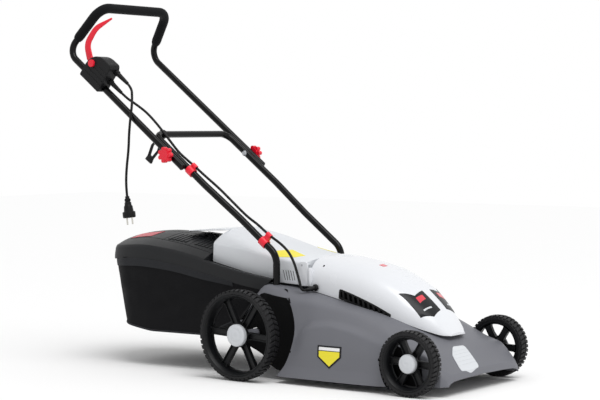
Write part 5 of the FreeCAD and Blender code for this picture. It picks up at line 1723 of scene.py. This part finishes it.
@dataclass
class Handle:
    """Lower and upper tubes, the foam grip and the switch housing."""
    slope: SlopedFrame
    radius: float = 9.5
    foam_radius: float = 14.0
    foam_start: float = 911.0

    def both_sides(self, half: Sequence[Vector]) -> list[Vector]:
        """Path over both sides from its right half, given from the foot up."""
        right = [Vector((spot.x, -abs(spot.y), spot.z)) for spot in half]
        left = [Vector((spot.x, abs(spot.y), spot.z)) for spot in reversed(half)]
        return right + left

    def lower(self) -> None:
        """Bow of the lower handle."""
        half = [Vector((84, 150, 200)), self.slope.place(0, 150), self.slope.place(155, 150),
                self.slope.place(297, 160), self.slope.place(521, 160)]
        path = fillet_path(self.both_sides(half), [50, 160, 160, 30, 30, 160, 160, 50])
        bow = tube("lower_tube", path, self.radius)
        finish(bow, Look.TUBE, "chassis", ["handle_lower"], 40)

    def upper_path(self) -> list[Vector]:
        """Centre line of the upper handle."""
        half = [self.slope.past_pivot(-54, 179.5), self.slope.past_pivot(478, 179.5),
                Vector((-543, 144, 1001))]
        return fillet_path(self.both_sides(half), [38, 45, 45, 38])

    def upper(self) -> None:
        """Upper handle and its foam."""
        path = self.upper_path()
        bow = tube("upper_tube", path, self.radius)
        finish(bow, Look.TUBE, "upper_handle", ["handle_upper"], 40)
        dense = [spot for spot in self.evened(path, 6.0) if spot.z > self.foam_start]
        count = len(dense)
        taper = []
        for index in range(count):
            edge = min(index, count - 1 - index)
            swell = 1.0 if edge > 1 else (0.80 if edge == 0 else 0.95)
            taper.append(swell)
        foam = tube("foam_sleeve", dense, self.foam_radius, taper)
        finish(foam, Look.FOAM, "upper_handle", ["foam_grip"], 50)

    def evened(self, path: Sequence[Vector], step: float) -> list[Vector]:
        """Same path with points about a step apart.

        Args:
            path: Points, mm.
            step: Distance, mm.

        Returns:
            The closer row of points.
        """
        found = [path[0]]
        for start, end in zip(path, path[1:]):
            pieces = max(1, round((end - start).length / step))
            found += [start.lerp(end, index / pieces) for index in range(1, pieces + 1)]
        return found

    def switch_box(self) -> None:
        """Two-part switch housing with ribs along the tube."""
        slope = self.slope
        outline = rounded([(302, -13), (302, 66), (309, 76), (345, 75), (368, 65), (384, 44), (388, 20),
                           (388, -13)], [5, 6, 10, 16, 16, 16, 10, 5], 5, closed=True)
        for name, start, end, node in (("switch_case_outer", -203, -180.2, "switch_housing_outer"),
                                       ("switch_case_inner", -179.8, -160, "switch_housing_inner")):
            rings = []
            inset = 2.2
            outer_first = start == -203
            levels = ((start, inset if outer_first else 0), (start + inset, 0), (end - inset, 0),
                      (end, 0 if outer_first else inset))
            middle = (345, 32)
            for level, shrink in levels:
                ring = []
                for run, rise in outline:
                    away = Vector((run - middle[0], rise - middle[1]))
                    near = away * (1 - shrink / max(away.length, 1))
                    spot = slope.past_pivot(middle[0] + near.x, level, middle[1] + near.y)
                    ring.append(spot)
                rings.append(ring)
            case = loft(name, rings)
            line = [slope.past_pivot(280, -179.5), slope.past_pivot(410, -179.5)]
            bore = tube("bore", line, self.radius + 0.1)
            boolean(case, [bore])
            finish(case, Look.BLACK, "upper_handle", [node], 36)
        ribs = []
        for index in range(4):
            rise = 8 + 13 * index
            path = [slope.past_pivot(run, -203.2, rise) for run in (306, 340, 380 - 2.5 * index)]
            ribs.append(tube("rib", path, 1.3))
        finish(join("switch_ribs", ribs), Look.BLACK, "upper_handle")

    def build(self) -> None:
        """Make the handle."""
        self.lower()
        self.upper()
        self.switch_box()


@dataclass
class Bail:
    """Flat red squeeze lever with its round hub."""
    hub: tuple[float, float, float] = (-523.45, -170.5, 842.04)

    def build(self) -> None:
        """Make the lever."""
        halves = Stations([(0.0, 9.0), (0.2, 10.5), (0.6, 9.0), (0.85, 6.0), (1.0, 2.2)])
        hub = Vector(self.hub)
        corners = [hub, hub + Vector((-36, -1.5, 12)), hub + Vector((-48, -1.5, 56)),
                   hub + Vector((-20, 5, 100)), hub + Vector((28, 20, 127))]
        path = fillet_path(corners, [16, 40, 60], 7)
        total = sum((b - a).length for a, b in zip(path, path[1:]))
        run, rings = 0.0, []
        for index, spot in enumerate(path):
            if index:
                run += (spot - path[index - 1]).length
            share = run / total
            ahead = (path[min(index + 1, len(path) - 1)] - path[max(index - 1, 0)]).normalized()
            wide = ahead.cross(Vector((0, 1, 0))).normalized()
            thick = ahead.cross(wide).normalized()
            half = halves.at(share)[0]
            deep = 5.0 - 2.4 * share
            ring = []
            for step in range(16):
                turn = 2 * math.pi * step / 16
                across = math.copysign(abs(math.cos(turn)) ** 0.5, math.cos(turn)) * half
                up = math.copysign(abs(math.sin(turn)) ** 0.7, math.sin(turn)) * deep
                ring.append(spot + wide * across + thick * up)
            rings.append(ring)
        lever = loft("squeeze_lever", rings)
        drum = turned("drum", [(0, -11), (10, -11), (11, -10), (11, 10), (10, 11), (0, 11)], hub, 1, 40)
        finish(join("squeeze_lever", [lever, drum]), Look.RED, "bail", ["bail_lever"], 40)


@dataclass
class Leads:
    """Cable to the motor and the tail with its plug."""
    radius: float = 3.5
    motor_path: tuple[Point, ...] = (
        (-441.02, -173, 758.88), (-420.37, -173, 743.09), (-394, -166, 727), (-362, -157, 704),
        (-330, -150, 672),
        (-293, -144, 630), (-262, -141, 596), (-232, -147, 578), (-189.27, -157, 556.34), (-158, -152, 531),
        (-110, -148, 497), (-62, -147, 459), (-16, -146, 423), (20, -147, 404), (57.27, -147, 376.65),
        (96, -149, 357), (124, -150, 336), (144, -153, 308), (156, -156, 281), (164, -158, 262),
        (168.3, -159.3, 251), (170.6, -159.8, 243.6), (173.3, -157, 239), (176.4, -152.3, 236.9),
        (179, -147, 238),
    )
    power_path: tuple[Point, ...] = (
        (-421.58, -169, 784.30), (-403.58, -172, 770.30), (-394, -181, 749), (-386, -191, 722),
        (-385, -199, 686),
        (-388, -201, 646), (-391, -200, 600), (-398, -201, 548), (-401.18, -200, 500.71), (-397, -200, 471),
    )

    def line(self, name: str, path: Sequence[Point]) -> bpy.types.Curve:
        """NURBS curve with a round section.

        Args:
            name: Object's name.
            path: Control points, mm.

        Returns:
            The curve.
        """
        curve = bpy.data.curves.new(name, "CURVE")
        curve.dimensions = "3D"
        curve.bevel_depth = self.radius * MM
        curve.bevel_resolution = 5
        curve.use_fill_caps = True
        curve.resolution_u = 12
        spline = curve.splines.new("NURBS")
        spline.points.add(len(path) - 1)
        for spot, point in zip(path, spline.points):
            point.co = (*(Vector(spot) * MM), 1.0)
        spline.order_u = 3
        spline.use_endpoint_u = True
        return curve

    def build(self) -> None:
        """Make both leads and the plug."""
        motor = curve_mesh("motor_cable", self.line("motor_cable", self.motor_path))
        motor.data.materials.append(material_of(Look.RUBBER))
        smooth(motor, 60)
        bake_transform(motor)
        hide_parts("motor_lead")
        plug = refined("power_plug", "plug_moulding", 0.8)
        finish(plug, Look.RUBBER, "upper_handle", ["power_plug"], 36)
        pins = refined("plug_pins", "plug_prongs", 0.0)
        finish(pins, Look.PIN, "upper_handle", ["plug_pins"], 36)
        tail = link("mains_tail", self.line("mains_tail", self.power_path))
        tail.data.materials.append(material_of(Look.RUBBER))
        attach(tail, "upper_handle")
        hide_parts("power_lead")


@dataclass
class Fittings:
    """Cable hook and lock button: frame parts with rounded edges."""

    def build(self) -> None:
        """Dress the fittings that keep the frame's shape."""
        rows = (
            ("cable_hook", "lead_hook", Look.BLACK, "hook", "black_plastic", 0.6),
            ("lock_button", "lock_push_button", Look.RED, "button", "red_plastic", 0.8),
        )
        for node, name, look, body, slot, width in rows:
            finish(refined(node, name, width), look, body, [node], 36)


# ---------------------------------------------------------------------------
# Stage
# ---------------------------------------------------------------------------
@dataclass
class Stage:
    """Camera, floor, world and soft lights."""
    camera_place: tuple[float, float, float] = (2.8374, -3.8251, 0.6708)
    camera_turn: tuple[float, float, float] = (87.51, 0.0, 36.07)
    lens: float = 104.55

    def camera(self) -> None:
        """Place the camera."""
        data = bpy.data.cameras.new("view")
        data.lens = self.lens
        data.sensor_width = 36.0
        data.clip_end = 50.0
        holder = link("view", data)
        holder.location = self.camera_place
        holder.rotation_euler = [math.radians(value) for value in self.camera_turn]
        bpy.context.scene.camera = holder

    def floor(self) -> None:
        """Wide pale floor that keeps a faint shadow."""
        far = 9000
        corners = [(-far, -far, 0), (far, -far, 0), (far, far, 0), (-far, far, 0)]
        floor = mesh_piece("floor", corners, [(0, 1, 2, 3)])
        material = bpy.data.materials.new("floor")
        material.use_nodes = True
        base = material.node_tree.nodes["Principled BSDF"]
        base.inputs["Base Color"].default_value = (0.95, 0.95, 0.95, 1)
        base.inputs["Roughness"].default_value = 1.0
        base.inputs["Specular IOR Level"].default_value = 0.0
        floor.data.materials.append(material)
        if floor.data.polygons[0].normal.z < 0:
            floor.data.flip_normals()

    def world(self) -> None:
        """White to the camera and reflections, dimmer as fill light."""
        world = bpy.data.worlds.new("studio")
        world.use_nodes = True
        tree = world.node_tree
        tree.nodes.clear()
        out = tree.nodes.new("ShaderNodeOutputWorld")
        mix = tree.nodes.new("ShaderNodeMixShader")
        path = tree.nodes.new("ShaderNodeLightPath")
        first = tree.nodes.new("ShaderNodeMath")
        second = tree.nodes.new("ShaderNodeMath")
        first.operation = second.operation = "MAXIMUM"
        tree.links.new(path.outputs["Is Camera Ray"], first.inputs[0])
        tree.links.new(path.outputs["Is Glossy Ray"], first.inputs[1])
        tree.links.new(first.outputs[0], second.inputs[0])
        tree.links.new(path.outputs["Is Transmission Ray"], second.inputs[1])
        fill, white = tree.nodes.new("ShaderNodeBackground"), tree.nodes.new("ShaderNodeBackground")
        fill.inputs["Color"].default_value = (1, 1, 1, 1)
        fill.inputs["Strength"].default_value = 0.6
        white.inputs["Color"].default_value = (1, 1, 1, 1)
        white.inputs["Strength"].default_value = 1.0
        tree.links.new(second.outputs[0], mix.inputs[0])
        tree.links.new(fill.outputs[0], mix.inputs[1])
        tree.links.new(white.outputs[0], mix.inputs[2])
        tree.links.new(mix.outputs[0], out.inputs[0])
        bpy.context.scene.world = world

    def lights(self) -> None:
        """Large soft key from above, fill from the camera's side and a broad sun."""
        rows = (
            ("key", (1.6, -0.6, 2.8), (0.1, 0.0, 0.3), 1.6, 7.0),
            ("fill", (3.6, 0.2, 1.2), (0.1, 0.0, 0.3), 1.6, 7.0),
        )
        sun = bpy.data.lights.new("sun", "SUN")
        sun.energy = 1.5
        sun.angle = math.radians(40)
        holder = link("sun", sun)
        holder.rotation_euler = Vector((-0.45, 0.15, -1.0)).to_track_quat("-Z", "Y").to_euler()
        for name, place, target, size, power in rows:
            data = bpy.data.lights.new(name, "AREA")
            data.shape = "SQUARE"
            data.size = size
            data.energy = power
            holder = link(name, data)
            holder.location = place
            aim = Vector(target) - Vector(place)
            holder.rotation_euler = aim.to_track_quat("-Z", "Y").to_euler()

    def build(self) -> None:
        """Set the stage."""
        self.camera()
        self.floor()
        self.world()
        self.lights()
        bpy.context.scene.view_settings.view_transform = "Standard"


NODE_LOOKS = {
    "motor": Look.MOTOR, "blade": Look.BLADE, "blade_holder": Look.BLACK, "rotor_shaft": Look.STEEL,
    "blade_nut": Look.STEEL, "flap_pin": Look.STEEL, "flap_spring": Look.STEEL, "handle_end_caps": Look.BLACK,
    "switch_block": Look.BLACK, "power_lead_gland": Look.RUBBER, "motor_lead_gland": Look.RUBBER,
    "motor_lead_upper_gland": Look.RUBBER,
}


def dress_rest() -> None:
    """Give every carried-over node of the frame its finish."""
    for name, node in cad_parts.items():
        look = NODE_LOOKS.get(name)
        if look is None:
            if "knob" in name or "clip" in name:
                look = Look.RED
            elif "blade" in name:
                look = Look.BLADE
            elif any(word in name for word in ("axle", "bolt", "nut", "screw", "pin", "spring", "shaft")):
                look = Look.STEEL
            else:
                look = Look.BLACK
        if node.material_slots:
            for slot in node.material_slots:
                slot.material = material_of(look)
        else:
            node.data.materials.append(material_of(look))


def main() -> None:
    """Build every piece in turn."""
    logging.basicConfig(level=logging.INFO, format="%(message)s")
    slope = SlopedFrame()
    builders = (
        Stage(), Deck(), MotorCover(), RearFlap(), GrassBox(),
        Wheel("rear", (37, 120), 120, 38, 269.5, 29.5, 52),
        Wheel("front", (545, 82.5), 82.5, 36, 237, 24, 42),
        Handle(slope), Bail(), Leads(), Fittings(),
    )
    for builder in builders:
        log.info("building %s", type(builder).__name__)
        builder.build()
    dress_rest()


if __name__ == "__main__":
    main()
